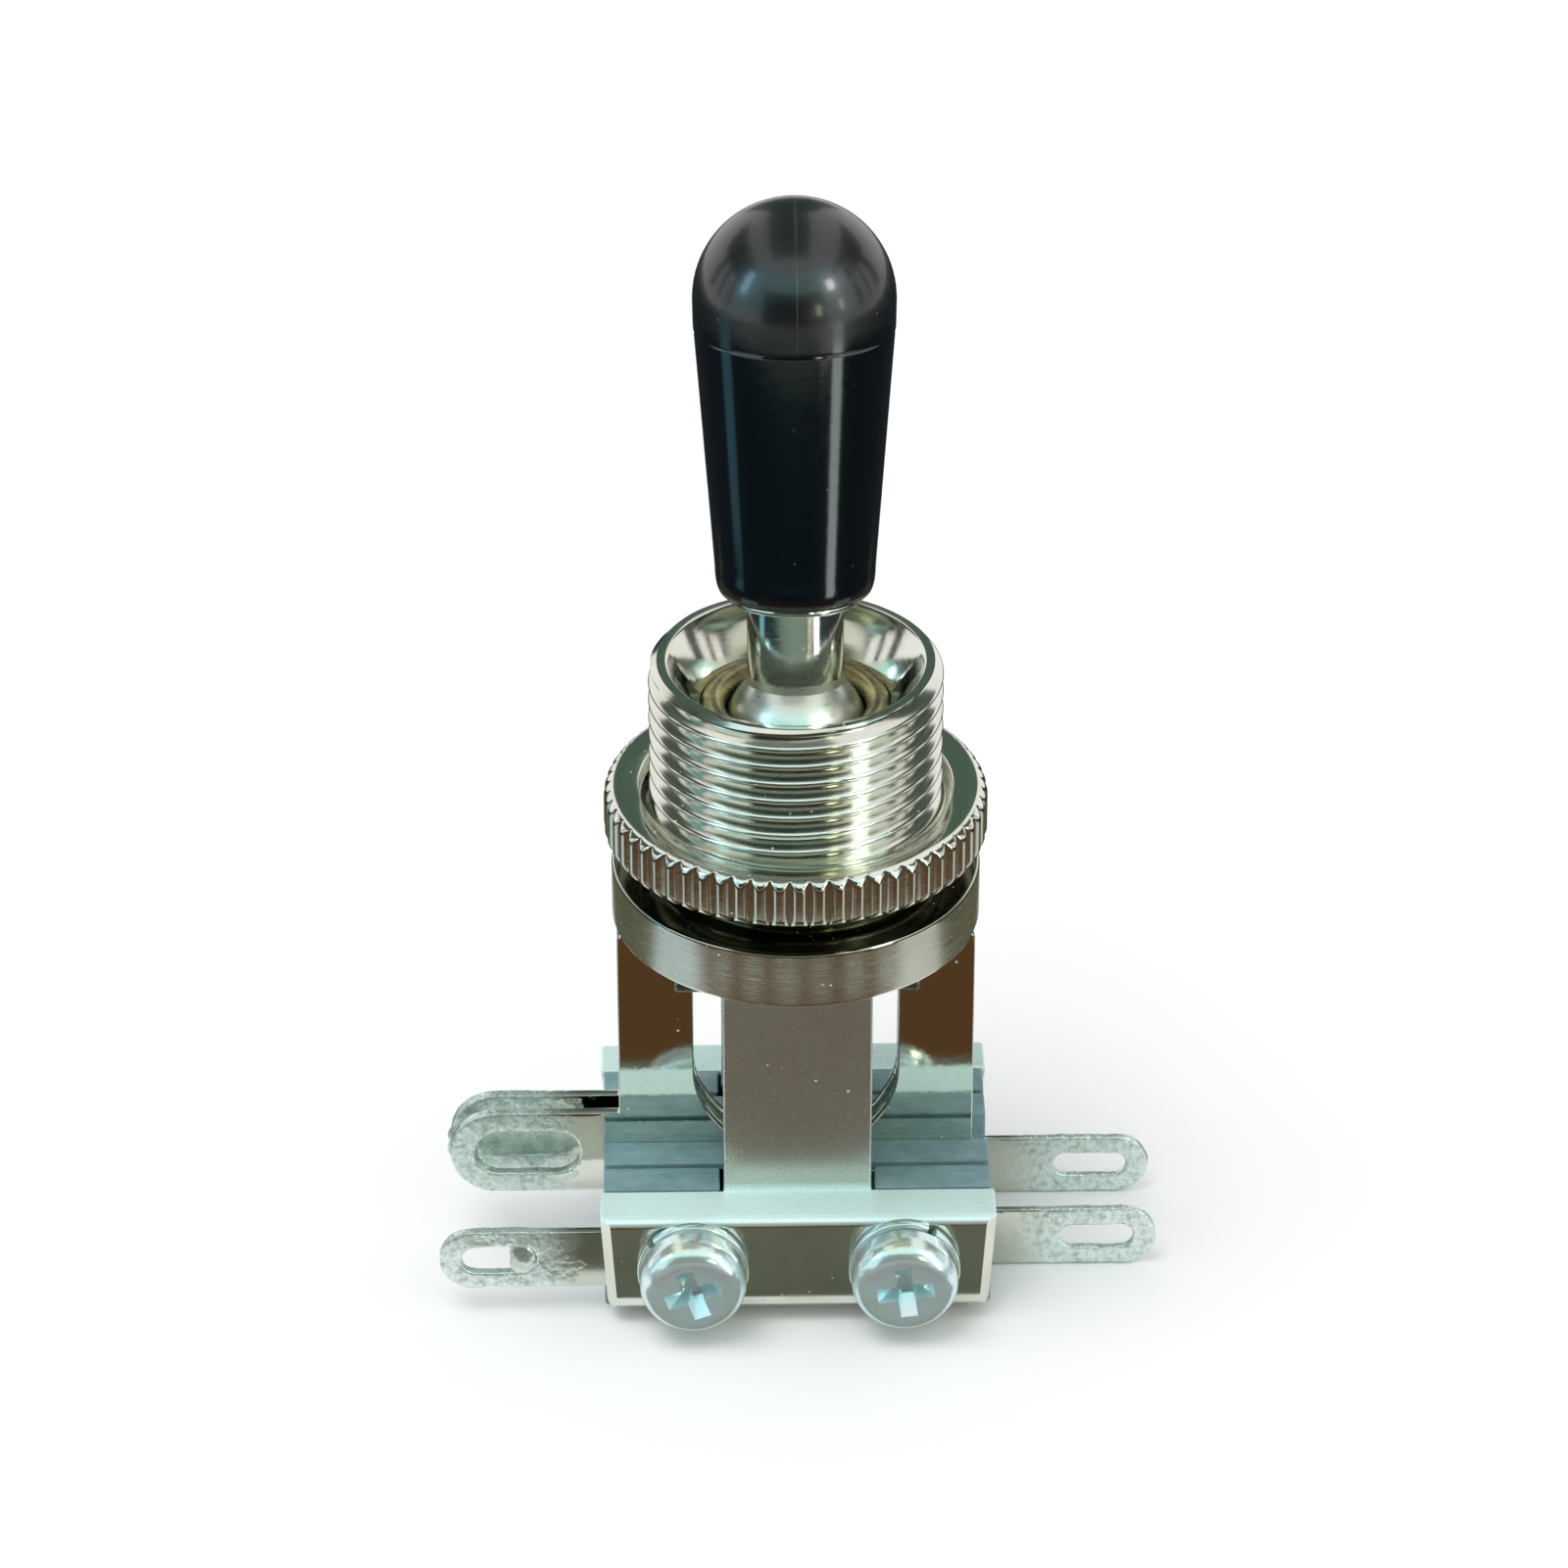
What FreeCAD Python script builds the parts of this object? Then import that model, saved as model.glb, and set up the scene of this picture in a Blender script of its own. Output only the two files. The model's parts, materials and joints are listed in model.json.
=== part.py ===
import FreeCAD, Part
import math
import os

# Three-way toggle switch in millimetres: +Z is up along the bushing, -Y is the front, X runs along the stack.
# The origin lies under the bushing's axis, on the plane that the insulator boards stand on.

# Bushing
THREAD_RADIUS = 5.95
THREAD_LENGTH = 9.3
THREAD_PITCH = 25.4 / 32
THREAD_DEPTH = 0.49
THREAD_FLAT = 0.1
RIM_CHAMFER = 0.35
FLANGE_RADIUS = 7.52
FLANGE_THICKNESS = 2.5
FLANGE_CHAMFER = 0.15
MOUTH_RADIUS = 5.2
CONE_FLOOR_RADIUS = 3.9
CONE_DEPTH = 1.9
RING_SEAT_DEPTH = 0.8
SPIGOT_RADIUS = 3.15
STAKE_LIP = 0.25
STAKE_HEIGHT = 0.4
SPIGOT_BORE_RADIUS = 2.8
BALL_SEAT_RADIUS = 2.6
BALL_SEAT_LAND = 1.0

# Knurled nut
NUT_RADIUS = 7.8
NUT_THICKNESS = 2.2
NUT_LIFT = 1.3
NUT_CHAMFER = 0.3
KNURL_DEPTH = 0.28
KNURL_COUNT = 60
KNURL_LAND = 0.42
NUT_THREAD_RELIEF = 0.4

# Lever
PIVOT_DEPTH = 3.4
LEVER_TILT = 11.0
BALL_RADIUS = 2.95
SHAFT_RADIUS = 1.95
SHAFT_EXPOSED_END = 5.75
SHAFT_TENON_RADIUS = 1.6
SHAFT_TENON_LENGTH = 8.0
TAIL_RADIUS = 1.3
TAIL_STRAIGHT_END = 5.5
TAIL_TAPER_END = 8.4
TAIL_TIP_RADIUS = 0.38
SLEEVE_RADIUS = 0.6
SLEEVE_LENGTH = 2.2
TAIL_END = 10.9

# Lever tip and its collar, measured along the lever from the pivot
FERRULE_RADIUS = 2.75
FERRULE_THICKNESS = 0.3
TIP_FOOT_RADIUS = 2.9
TIP_WAIST_RADIUS = 3.24
TIP_WAIST_RISE = 1.1
TIP_FOOT_BULGE = 0.06
TIP_DOME_RADIUS = 4.05
TIP_LENGTH = 16.2
TIP_SHOULDER_RADIUS = 4.0
TIP_SHOULDER_DROP = 5.3

# Pivot pin and ring
PIN_RADIUS = 0.5
PIN_LENGTH = 8.8
PIN_SLOT_RADIUS = 4.62
RING_RADIUS = 3.35
RING_SECTION_RADIUS = 0.5

# Folded frame
FRAME_HEIGHT = 16.0
FRAME_THICKNESS = 1.0
TOP_PLATE_RADIUS = 4.1
LEG_WIDTH = 6.1
LEG_FACE_Y = 4.5
LEDGE_HEIGHT = 5.1
FOOT_FACE_Y = 6.7
FOOT_LIFT = 0.5
FOOT_TOP_WIDTH = 16.3
FOOT_SIDE_TAPER = 0.3
FOOT_CORNER_RADIUS = 0.6
LEDGE_BEND_RADIUS = 0.4
TOP_BEND_RADIUS = 1.5
LEG_ROOT_RADIUS = 0.9

# Blade stack, thicknesses along Y from the middle outwards
SPACER_THICKNESS = 0.9
FORK_THICKNESS = 0.45
INNER_BOARD_THICKNESS = 1.6
BLADE_THICKNESS = 0.3
MIDDLE_BOARD_THICKNESS = 1.6
GROUND_SHEET_THICKNESS = 0.4
BOARD_SIDE_INSET = 0.15
SHEET_SIDE_INSET = 0.55
SHEET_INSET = 0.3
LEG_NOTCH_CLEARANCE = 0.15

# Forks
FORK_SIDE_INSET = 0.65
FORK_CUT_RADIUS = 4.24
FORK_CUT_DEPTH = 0.7
FORK_TOP_GAP = 0.6
SPACER_ARM_HEIGHT = 9.0
FORK_CORNER_RADIUS = 0.5

# Spring blades and their contact bars
BLADE_WIDTH = 5.0
BLADE_STRAIGHT = 0.5
BAR_RADIUS = 0.25
BAR_LENGTH = 10.0
BAR_DROP = 0.9
CONTACT_GAP = 0.02

# Lugs
LUG_LENGTH = 7.0
LUG_HEIGHT = 2.7
LUG_BOTTOM = 0.07
LUG_SLOT_LENGTH = 3.1
LUG_SLOT_HEIGHT = 1.15
LUG_SLOT_MARGIN = 0.9
GROUND_LUG_LENGTH = 6.8
GROUND_LUG_BOTTOM = 1.2
GROUND_SLOT_HEIGHT = 1.35
COMMON_LUG_LENGTH = 6.4
COMMON_LUG_HEIGHT = 3.86
COMMON_LUG_BOTTOM = 2.7
COMMON_SLOT_LENGTH = 4.4
COMMON_SLOT_HEIGHT = 2.1
COMMON_SLOT_MARGIN = 1.0
SOLDER_PLUG_LENGTH = 1.1
SOLDER_BRIDGE_RADIUS = 0.45
ROOT_OVERLAP = 1.0
END_FLAT = 0.01

# Stack screws
SCREW_SPACING = 8.7
SCREW_HEIGHT = 2.85
SCREW_RADIUS = 1.15
SCREW_HEAD_RADIUS = 2.2
SCREW_HEAD_HEIGHT = 1.5
SCREW_CROWN_RADIUS = 0.9
SCREW_END_PROUD = 0.6
RECESS_SPAN = 2.3
RECESS_WIDTH = 0.62
RECESS_DEPTH = 0.9
WASHER_RADIUS = 2.3
WASHER_THICKNESS = 0.6
WASHER_SPLIT = 0.35
WASHER_SPLIT_ANGLE = 135
TUBE_WALL = 0.35

# Fits
SCREW_FIT = 0.05
BALL_FIT = 0.08
PIN_FIT = 0.06
SEAT_FIT = 0.02
CUT_PAST = 1.0

# Places that follow from the sizes
FLANGE_TOP = FRAME_HEIGHT + FLANGE_THICKNESS
RIM = FLANGE_TOP + THREAD_LENGTH
PIVOT = RIM - PIVOT_DEPTH
NUT_BOTTOM = FLANGE_TOP + NUT_LIFT
CONE_FLOOR = RIM - CONE_DEPTH
RING_SEAT = CONE_FLOOR - RING_SEAT_DEPTH
FORK_FACE = SPACER_THICKNESS / 2 + FORK_THICKNESS
BLADE_INNER = FORK_FACE + INNER_BOARD_THICKNESS
BLADE_OUTER = BLADE_INNER + BLADE_THICKNESS
MIDDLE_BOARD_FACE = BLADE_OUTER + MIDDLE_BOARD_THICKNESS
FOOT_INNER = FOOT_FACE_Y - FRAME_THICKNESS
GROUND_SHEET_INNER = FOOT_INNER - GROUND_SHEET_THICKNESS
LEG_INNER = LEG_FACE_Y - FRAME_THICKNESS
LEDGE_UNDERSIDE = LEDGE_HEIGHT - FRAME_THICKNESS
TUBE_BORE = SCREW_RADIUS + SCREW_FIT
TUBE_RADIUS = TUBE_BORE + TUBE_WALL
FORK_TOP = FRAME_HEIGHT - FORK_TOP_GAP
BOARD_HEIGHT = LEDGE_HEIGHT
BOARD_WIDTH = FOOT_TOP_WIDTH - 2 * BOARD_SIDE_INSET
FOOT_BOTTOM_WIDTH = FOOT_TOP_WIDTH - 2 * FOOT_SIDE_TAPER
SHEET_WIDTH = BOARD_WIDTH - 2 * SHEET_SIDE_INSET
FORK_WIDTH = BOARD_WIDTH - 2 * FORK_SIDE_INSET
LUG_REACH = BOARD_WIDTH / 2 + LUG_LENGTH
GROUND_LUG_REACH = BOARD_WIDTH / 2 + GROUND_LUG_LENGTH
COMMON_LUG_REACH = BOARD_WIDTH / 2 + COMMON_LUG_LENGTH
BAR_HEIGHT = FRAME_HEIGHT - FRAME_THICKNESS - BAR_DROP
FORK_CUT_CENTRE = BOARD_HEIGHT - FORK_CUT_DEPTH + FORK_CUT_RADIUS
SHAFT_TOP = SHAFT_EXPOSED_END + FERRULE_THICKNESS + SHAFT_TENON_LENGTH
TIP_FOOT = SHAFT_EXPOSED_END + FERRULE_THICKNESS
SCREW_PLACES = {"left": -SCREW_SPACING / 2, "right": SCREW_SPACING / 2}
SIDES = {"front": -1, "rear": 1}


def on_xz(a, b):
    return FreeCAD.Vector(a, 0, b)


def on_yz(a, b):
    return FreeCAD.Vector(0, a, b)


def on_xy(a, b):
    return FreeCAD.Vector(a, b, 0)


def outline(corners, place):
    """Closed wire through (a, b, radius) corners, each one rounded by its own radius."""
    stretches = []
    for index, (a, b, radius) in enumerate(corners):
        corner = FreeCAD.Vector(a, b, 0)
        if radius == 0:
            stretches.append((corner, None, corner))
            continue
        before = corners[index - 1]
        after = corners[(index + 1) % len(corners)]
        back = (FreeCAD.Vector(before[0], before[1], 0) - corner).normalize()
        ahead = (FreeCAD.Vector(after[0], after[1], 0) - corner).normalize()
        half_angle = back.getAngle(ahead) / 2
        reach = radius / math.tan(half_angle)
        inwards = (back + ahead).normalize()
        middle = corner + inwards * (radius / math.sin(half_angle) - radius)
        stretches.append((corner + back * reach, middle, corner + ahead * reach))
    edges = []
    for index, (start, middle, end) in enumerate(stretches):
        if middle is not None:
            points = [place(v.x, v.y) for v in (start, middle, end)]
            edges.append(Part.Arc(*points).toShape())
        following = stretches[(index + 1) % len(stretches)][0]
        if end.distanceToPoint(following) > 1e-6:
            edges.append(Part.LineSegment(place(end.x, end.y), place(following.x, following.y)).toShape())
    return Part.Wire(edges)


def sheet(corners, y_inner, thickness, side=1):
    """Flat piece with an XZ outline, from |Y| = y_inner outwards on one side."""
    face = Part.Face(outline(corners, on_xz))
    face.translate(FreeCAD.Vector(0, side * y_inner, 0))
    return face.extrude(FreeCAD.Vector(0, side * thickness, 0))


def bar_x(corners, width):
    """Piece with a YZ outline, centred on X."""
    face = Part.Face(outline(corners, on_yz))
    face.translate(FreeCAD.Vector(-width / 2, 0, 0))
    return face.extrude(FreeCAD.Vector(width, 0, 0))


def turned(corners):
    """Round piece about Z from a closed (radius, height) outline."""
    face = Part.Face(outline(corners, on_xz))
    return face.revolve(FreeCAD.Vector(0, 0, 0), FreeCAD.Vector(0, 0, 1), 360)


def rod_y(x, z, radius, y_from, y_to):
    return Part.makeCylinder(radius, y_to - y_from, FreeCAD.Vector(x, y_from, z), FreeCAD.Vector(0, 1, 0))


def rod_x(radius, length, y, z):
    return Part.makeCylinder(radius, length, FreeCAD.Vector(-length / 2, y, z), FreeCAD.Vector(1, 0, 0))


def rectangle(x_from, x_to, z_from, z_to, radius=0):
    return [(x_from, z_from, radius), (x_to, z_from, radius), (x_to, z_to, radius), (x_from, z_to, radius)]


def drill_stack(shape, radius):
    """Cut the two screw passages through the whole stack."""
    for x in SCREW_PLACES.values():
        shape = shape.cut(rod_y(x, SCREW_HEIGHT, radius, -FOOT_FACE_Y - CUT_PAST, FOOT_FACE_Y + CUT_PAST))
    return shape


def upright(shape, tilt=-LEVER_TILT):
    """Put a piece drawn about the pivot in its place, leaning back with the lever."""
    shape.rotate(FreeCAD.Vector(0, 0, 0), FreeCAD.Vector(1, 0, 0), tilt)
    shape.translate(FreeCAD.Vector(0, 0, PIVOT))
    return shape


def thread_groove(height):
    """Ring with the section of one groove of the thread, open to the outside."""
    root = THREAD_RADIUS - THREAD_DEPTH
    root_half = THREAD_FLAT / 2
    mouth_half = (THREAD_PITCH - THREAD_FLAT) / 2
    outside = THREAD_RADIUS + THREAD_DEPTH
    groove = turned([
        (root, -root_half, 0),
        (THREAD_RADIUS, -mouth_half, 0),
        (outside, -mouth_half, 0),
        (outside, mouth_half, 0),
        (THREAD_RADIUS, mouth_half, 0),
        (root, root_half, 0),
    ])
    groove.translate(FreeCAD.Vector(0, 0, height))
    return groove


def make_bushing():
    """Turned body: staked spigot, flange, thread as closed rings, cone mouth, ring seat and ball socket."""
    socket_radius = BALL_RADIUS + BALL_FIT
    seat = PIVOT - math.sqrt(socket_radius ** 2 - BALL_SEAT_RADIUS ** 2)
    spigot_end = FRAME_HEIGHT - FRAME_THICKNESS - STAKE_HEIGHT
    outer = [
        (SPIGOT_BORE_RADIUS, spigot_end, 0),
        (SPIGOT_RADIUS + STAKE_LIP, spigot_end, 0),
        (SPIGOT_RADIUS + STAKE_LIP, spigot_end + STAKE_HEIGHT, 0),
        (SPIGOT_RADIUS, spigot_end + STAKE_HEIGHT, 0),
        (SPIGOT_RADIUS, FRAME_HEIGHT, 0),
        (FLANGE_RADIUS - FLANGE_CHAMFER, FRAME_HEIGHT, 0),
        (FLANGE_RADIUS, FRAME_HEIGHT + FLANGE_CHAMFER, 0),
        (FLANGE_RADIUS, FLANGE_TOP - FLANGE_CHAMFER, 0),
        (FLANGE_RADIUS - FLANGE_CHAMFER, FLANGE_TOP, 0),
        (THREAD_RADIUS, FLANGE_TOP, 0),
        (THREAD_RADIUS, RIM - RIM_CHAMFER, 0),
        (THREAD_RADIUS - RIM_CHAMFER, RIM, 0),
    ]
    inner = [
        (MOUTH_RADIUS, RIM, 0),
        (CONE_FLOOR_RADIUS, CONE_FLOOR, 0),
        (CONE_FLOOR_RADIUS, RING_SEAT, 0),
        (socket_radius, RING_SEAT, 0),
        (socket_radius, PIVOT, 0),
        (BALL_SEAT_RADIUS, seat, 0),
        (BALL_SEAT_RADIUS, seat - BALL_SEAT_LAND, 0),
        (SPIGOT_BORE_RADIUS, seat - BALL_SEAT_LAND, 0),
    ]
    body = turned(outer + inner)
    body = body.cut(Part.makeSphere(socket_radius, FreeCAD.Vector(0, 0, PIVOT)))
    slot_half = PIN_RADIUS + PIN_FIT
    slot_height = RIM - PIVOT
    slot = Part.makeBox(2 * PIN_SLOT_RADIUS, 2 * slot_half, slot_height)
    slot.translate(FreeCAD.Vector(-PIN_SLOT_RADIUS, -slot_half, PIVOT))
    body = body.cut(slot).cut(rod_x(slot_half, 2 * PIN_SLOT_RADIUS, 0, PIVOT))
    for turn in range(int(THREAD_LENGTH / THREAD_PITCH)):
        body = body.cut(thread_groove(FLANGE_TOP + (turn + 0.5) * THREAD_PITCH))
    return body


def make_nut():
    """Knurled round nut, straight grooves cut in its rim and both edges chamfered."""
    pitch = 2 * math.pi / KNURL_COUNT
    land = pitch * KNURL_LAND
    corners = []
    for tooth in range(KNURL_COUNT):
        angle = tooth * pitch
        for turn, depth in ((-land / 2, 0), (land / 2, 0), (pitch / 2, KNURL_DEPTH)):
            radius = NUT_RADIUS - depth
            corners.append((radius * math.cos(angle + turn), radius * math.sin(angle + turn), 0))
    blank = Part.Face(outline(corners, on_xy)).extrude(FreeCAD.Vector(0, 0, NUT_THICKNESS))
    bore = THREAD_RADIUS + SEAT_FIT
    relief = bore + NUT_THREAD_RELIEF
    form = turned([
        (bore, NUT_THREAD_RELIEF, 0),
        (relief, 0, 0),
        (NUT_RADIUS - NUT_CHAMFER, 0, 0),
        (NUT_RADIUS, NUT_CHAMFER, 0),
        (NUT_RADIUS, NUT_THICKNESS - NUT_CHAMFER, 0),
        (NUT_RADIUS - NUT_CHAMFER, NUT_THICKNESS, 0),
        (relief, NUT_THICKNESS, 0),
        (bore, NUT_THICKNESS - NUT_THREAD_RELIEF, 0),
    ])
    nut = blank.common(form)
    nut.translate(FreeCAD.Vector(0, 0, NUT_BOTTOM))
    return nut


def make_frame():
    """One stamping folded down on both sides: top plate, legs, ledges and drilled feet."""
    leg_half = LEG_WIDTH / 2
    arch = bar_x([
        (-LEG_FACE_Y, LEDGE_UNDERSIDE, 0),
        (-LEG_INNER, LEDGE_UNDERSIDE, LEG_ROOT_RADIUS),
        (-LEG_INNER, FRAME_HEIGHT - FRAME_THICKNESS, 0),
        (LEG_INNER, FRAME_HEIGHT - FRAME_THICKNESS, 0),
        (LEG_INNER, LEDGE_UNDERSIDE, LEG_ROOT_RADIUS),
        (LEG_FACE_Y, LEDGE_UNDERSIDE, 0),
        (LEG_FACE_Y, FRAME_HEIGHT, TOP_BEND_RADIUS),
        (-LEG_FACE_Y, FRAME_HEIGHT, TOP_BEND_RADIUS),
    ], LEG_WIDTH)
    plate_base = FreeCAD.Vector(0, 0, FRAME_HEIGHT - FRAME_THICKNESS)
    frame = arch.fuse(Part.makeCylinder(TOP_PLATE_RADIUS, FRAME_THICKNESS, plate_base))
    foot_mask = [
        (-FOOT_BOTTOM_WIDTH / 2, FOOT_LIFT, FOOT_CORNER_RADIUS),
        (FOOT_BOTTOM_WIDTH / 2, FOOT_LIFT, FOOT_CORNER_RADIUS),
        (FOOT_TOP_WIDTH / 2, LEDGE_HEIGHT, 0),
        (-FOOT_TOP_WIDTH / 2, LEDGE_HEIGHT, 0),
    ]
    for side in SIDES.values():
        bracket = bar_x([
            (side * FOOT_FACE_Y, FOOT_LIFT, 0),
            (side * FOOT_FACE_Y, LEDGE_HEIGHT, LEDGE_BEND_RADIUS),
            (side * LEG_FACE_Y, LEDGE_HEIGHT, 0),
            (side * LEG_FACE_Y, LEDGE_UNDERSIDE, 0),
            (side * FOOT_INNER, LEDGE_UNDERSIDE, 0),
            (side * FOOT_INNER, FOOT_LIFT, 0),
        ], FOOT_TOP_WIDTH)
        mask = sheet(foot_mask, LEG_FACE_Y, FOOT_FACE_Y - LEG_FACE_Y, side)
        frame = frame.fuse(bracket.common(mask))
    hole = Part.makeCylinder(SPIGOT_RADIUS + SEAT_FIT, FRAME_THICKNESS, plate_base)
    frame = frame.cut(hole).removeSplitter()
    foot_holes = {-1: SCREW_RADIUS + SCREW_FIT, 1: SCREW_RADIUS + SEAT_FIT}
    for side, radius in foot_holes.items():
        for x in SCREW_PLACES.values():
            lo, hi = sorted((side * FOOT_INNER, side * FOOT_FACE_Y))
            frame = frame.cut(rod_y(x, SCREW_HEIGHT, radius, lo, hi))
    return frame


def make_lever_shaft():
    """Turned lever: tenon, shaft, ball and tapered tail, cross-drilled for its pin."""
    ball = Part.makeSphere(BALL_RADIUS)
    stem = turned([
        (0, 0, 0),
        (SHAFT_RADIUS, 0, 0),
        (SHAFT_RADIUS, SHAFT_EXPOSED_END, 0),
        (SHAFT_TENON_RADIUS, SHAFT_EXPOSED_END, 0),
        (SHAFT_TENON_RADIUS, SHAFT_TOP, 0),
        (0, SHAFT_TOP, 0),
    ])
    tail = turned([
        (0, 0, 0),
        (TAIL_RADIUS, 0, 0),
        (TAIL_RADIUS, -TAIL_STRAIGHT_END, 0),
        (TAIL_TIP_RADIUS, -TAIL_TAPER_END, 0),
        (TAIL_TIP_RADIUS, -TAIL_END + SLEEVE_RADIUS, 0),
        (0, -TAIL_END + SLEEVE_RADIUS, 0),
    ])
    shaft = ball.fuse([stem, tail]).removeSplitter()
    shaft = shaft.cut(rod_x(PIN_RADIUS, 2 * BALL_RADIUS, 0, 0))
    return upright(shaft)


def make_lever_tip():
    """Moulded tip: rounded foot, slow taper to the shoulder, round dome, blind bore for the tenon."""
    top = TIP_FOOT + TIP_LENGTH
    dome_centre = top - TIP_DOME_RADIUS
    quarter = TIP_DOME_RADIUS * math.sqrt(0.5)
    bore = SHAFT_TENON_RADIUS + SEAT_FIT
    bore_end = SHAFT_TOP + SEAT_FIT
    inner_foot = on_xz(bore, TIP_FOOT)
    foot = on_xz(TIP_FOOT_RADIUS, TIP_FOOT)
    bulge = (TIP_FOOT_RADIUS + TIP_WAIST_RADIUS) / 2 + TIP_FOOT_BULGE
    foot_middle = on_xz(bulge, TIP_FOOT + TIP_WAIST_RISE / 3)
    waist = on_xz(TIP_WAIST_RADIUS, TIP_FOOT + TIP_WAIST_RISE)
    shoulder = on_xz(TIP_SHOULDER_RADIUS, top - TIP_SHOULDER_DROP)
    dome = on_xz(TIP_DOME_RADIUS, dome_centre)
    dome_middle = on_xz(quarter, dome_centre + quarter)
    edges = [
        Part.LineSegment(inner_foot, foot).toShape(),
        Part.Arc(foot, foot_middle, waist).toShape(),
        Part.LineSegment(waist, shoulder).toShape(),
        Part.LineSegment(shoulder, dome).toShape(),
        Part.Arc(dome, dome_middle, on_xz(0, top)).toShape(),
        Part.LineSegment(on_xz(0, top), on_xz(0, bore_end)).toShape(),
        Part.LineSegment(on_xz(0, bore_end), on_xz(bore, bore_end)).toShape(),
        Part.LineSegment(on_xz(bore, bore_end), inner_foot).toShape(),
    ]
    profile = Part.Face(Part.Wire(edges))
    return upright(profile.revolve(FreeCAD.Vector(0, 0, 0), FreeCAD.Vector(0, 0, 1), 360))


def make_ferrule():
    bore = SHAFT_TENON_RADIUS + SEAT_FIT
    edge = FERRULE_THICKNESS / 3
    return upright(turned([
        (bore, SHAFT_EXPOSED_END, 0),
        (FERRULE_RADIUS, SHAFT_EXPOSED_END, edge),
        (FERRULE_RADIUS, TIP_FOOT, edge),
        (bore, TIP_FOOT, 0),
    ]))


def make_pin():
    return upright(rod_x(PIN_RADIUS, PIN_LENGTH, 0, 0), 0)


def make_ring():
    centre = FreeCAD.Vector(0, 0, RING_SEAT + RING_SECTION_RADIUS)
    return Part.makeTorus(RING_RADIUS, RING_SECTION_RADIUS, centre)


def make_sleeve():
    """Insulating sleeve with a round nose that pushes the blades."""
    base = FreeCAD.Vector(0, 0, -TAIL_END + SLEEVE_RADIUS)
    nose = Part.makeSphere(SLEEVE_RADIUS, base)
    body = Part.makeCylinder(SLEEVE_RADIUS, SLEEVE_LENGTH - SLEEVE_RADIUS, base)
    bore = Part.makeCylinder(TAIL_TIP_RADIUS, SLEEVE_LENGTH, base)
    return upright(body.fuse(nose).removeSplitter().cut(bore))


def make_board(y_inner, y_outer, top, side):
    """Insulating board of the stack; one that reaches under a leg is notched for it."""
    board = sheet(rectangle(-BOARD_WIDTH / 2, BOARD_WIDTH / 2, 0, top), y_inner, y_outer - y_inner, side)
    if y_outer > LEG_INNER and top > LEDGE_UNDERSIDE:
        half = LEG_WIDTH / 2 + LEG_NOTCH_CLEARANCE
        floor = LEDGE_UNDERSIDE - LEG_NOTCH_CLEARANCE
        notch = rectangle(-half, half, floor, top + CUT_PAST)
        board = board.cut(sheet(notch, y_inner, y_outer - y_inner, side))
    return drill_stack(board, TUBE_RADIUS + SEAT_FIT)


def lug_outline(direction, root, reach, bottom, height, slot_length, slot_height, margin):
    """Outline of a lug with a round end, and of the slot in it."""
    tip = direction * reach
    end_radius = height / 2 - END_FLAT
    lug = [
        (direction * root, bottom, 0),
        (direction * root, bottom + height, 0),
        (tip, bottom + height, end_radius),
        (tip, bottom, end_radius),
    ]
    middle = bottom + height / 2
    slot_end = tip - direction * margin
    slot_start = slot_end - direction * slot_length
    low, high = sorted((slot_start, slot_end))
    half = slot_height / 2
    slot = rectangle(low, high, middle - half, middle + half, half - END_FLAT)
    return lug, slot


def make_ground_lug():
    """Sheet clamped under the front foot, with its lug to the left."""
    top = LEDGE_UNDERSIDE - LEG_NOTCH_CLEARANCE
    body = sheet(rectangle(-SHEET_WIDTH / 2, SHEET_WIDTH / 2, SHEET_INSET, top), GROUND_SHEET_INNER,
                 GROUND_SHEET_THICKNESS, -1)
    root = SHEET_WIDTH / 2 - ROOT_OVERLAP
    lug, slot = lug_outline(-1, root, GROUND_LUG_REACH, GROUND_LUG_BOTTOM, LUG_HEIGHT,
                            LUG_SLOT_LENGTH, GROUND_SLOT_HEIGHT, LUG_SLOT_MARGIN)
    piece = body.fuse(sheet(lug, GROUND_SHEET_INNER, GROUND_SHEET_THICKNESS, -1)).removeSplitter()
    piece = piece.cut(sheet(slot, GROUND_SHEET_INNER, GROUND_SHEET_THICKNESS, -1))
    return drill_stack(piece, SCREW_RADIUS + SCREW_FIT)


def blade_tip_y(side):
    """Where a blade's contact bar stands: on its fork, or held off by the lever's tail."""
    leaning_back = side * LEVER_TILT < 0
    if not leaning_back:
        return side * (FORK_FACE + BAR_RADIUS + CONTACT_GAP)
    lean = math.radians(LEVER_TILT)
    tail = (PIVOT - BAR_HEIGHT) * math.tan(lean)
    return side * (tail + SLEEVE_RADIUS / math.cos(lean) + BAR_RADIUS + CONTACT_GAP)


def make_bar(side):
    return rod_x(BAR_RADIUS, BAR_LENGTH, blade_tip_y(side), BAR_HEIGHT)


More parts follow.
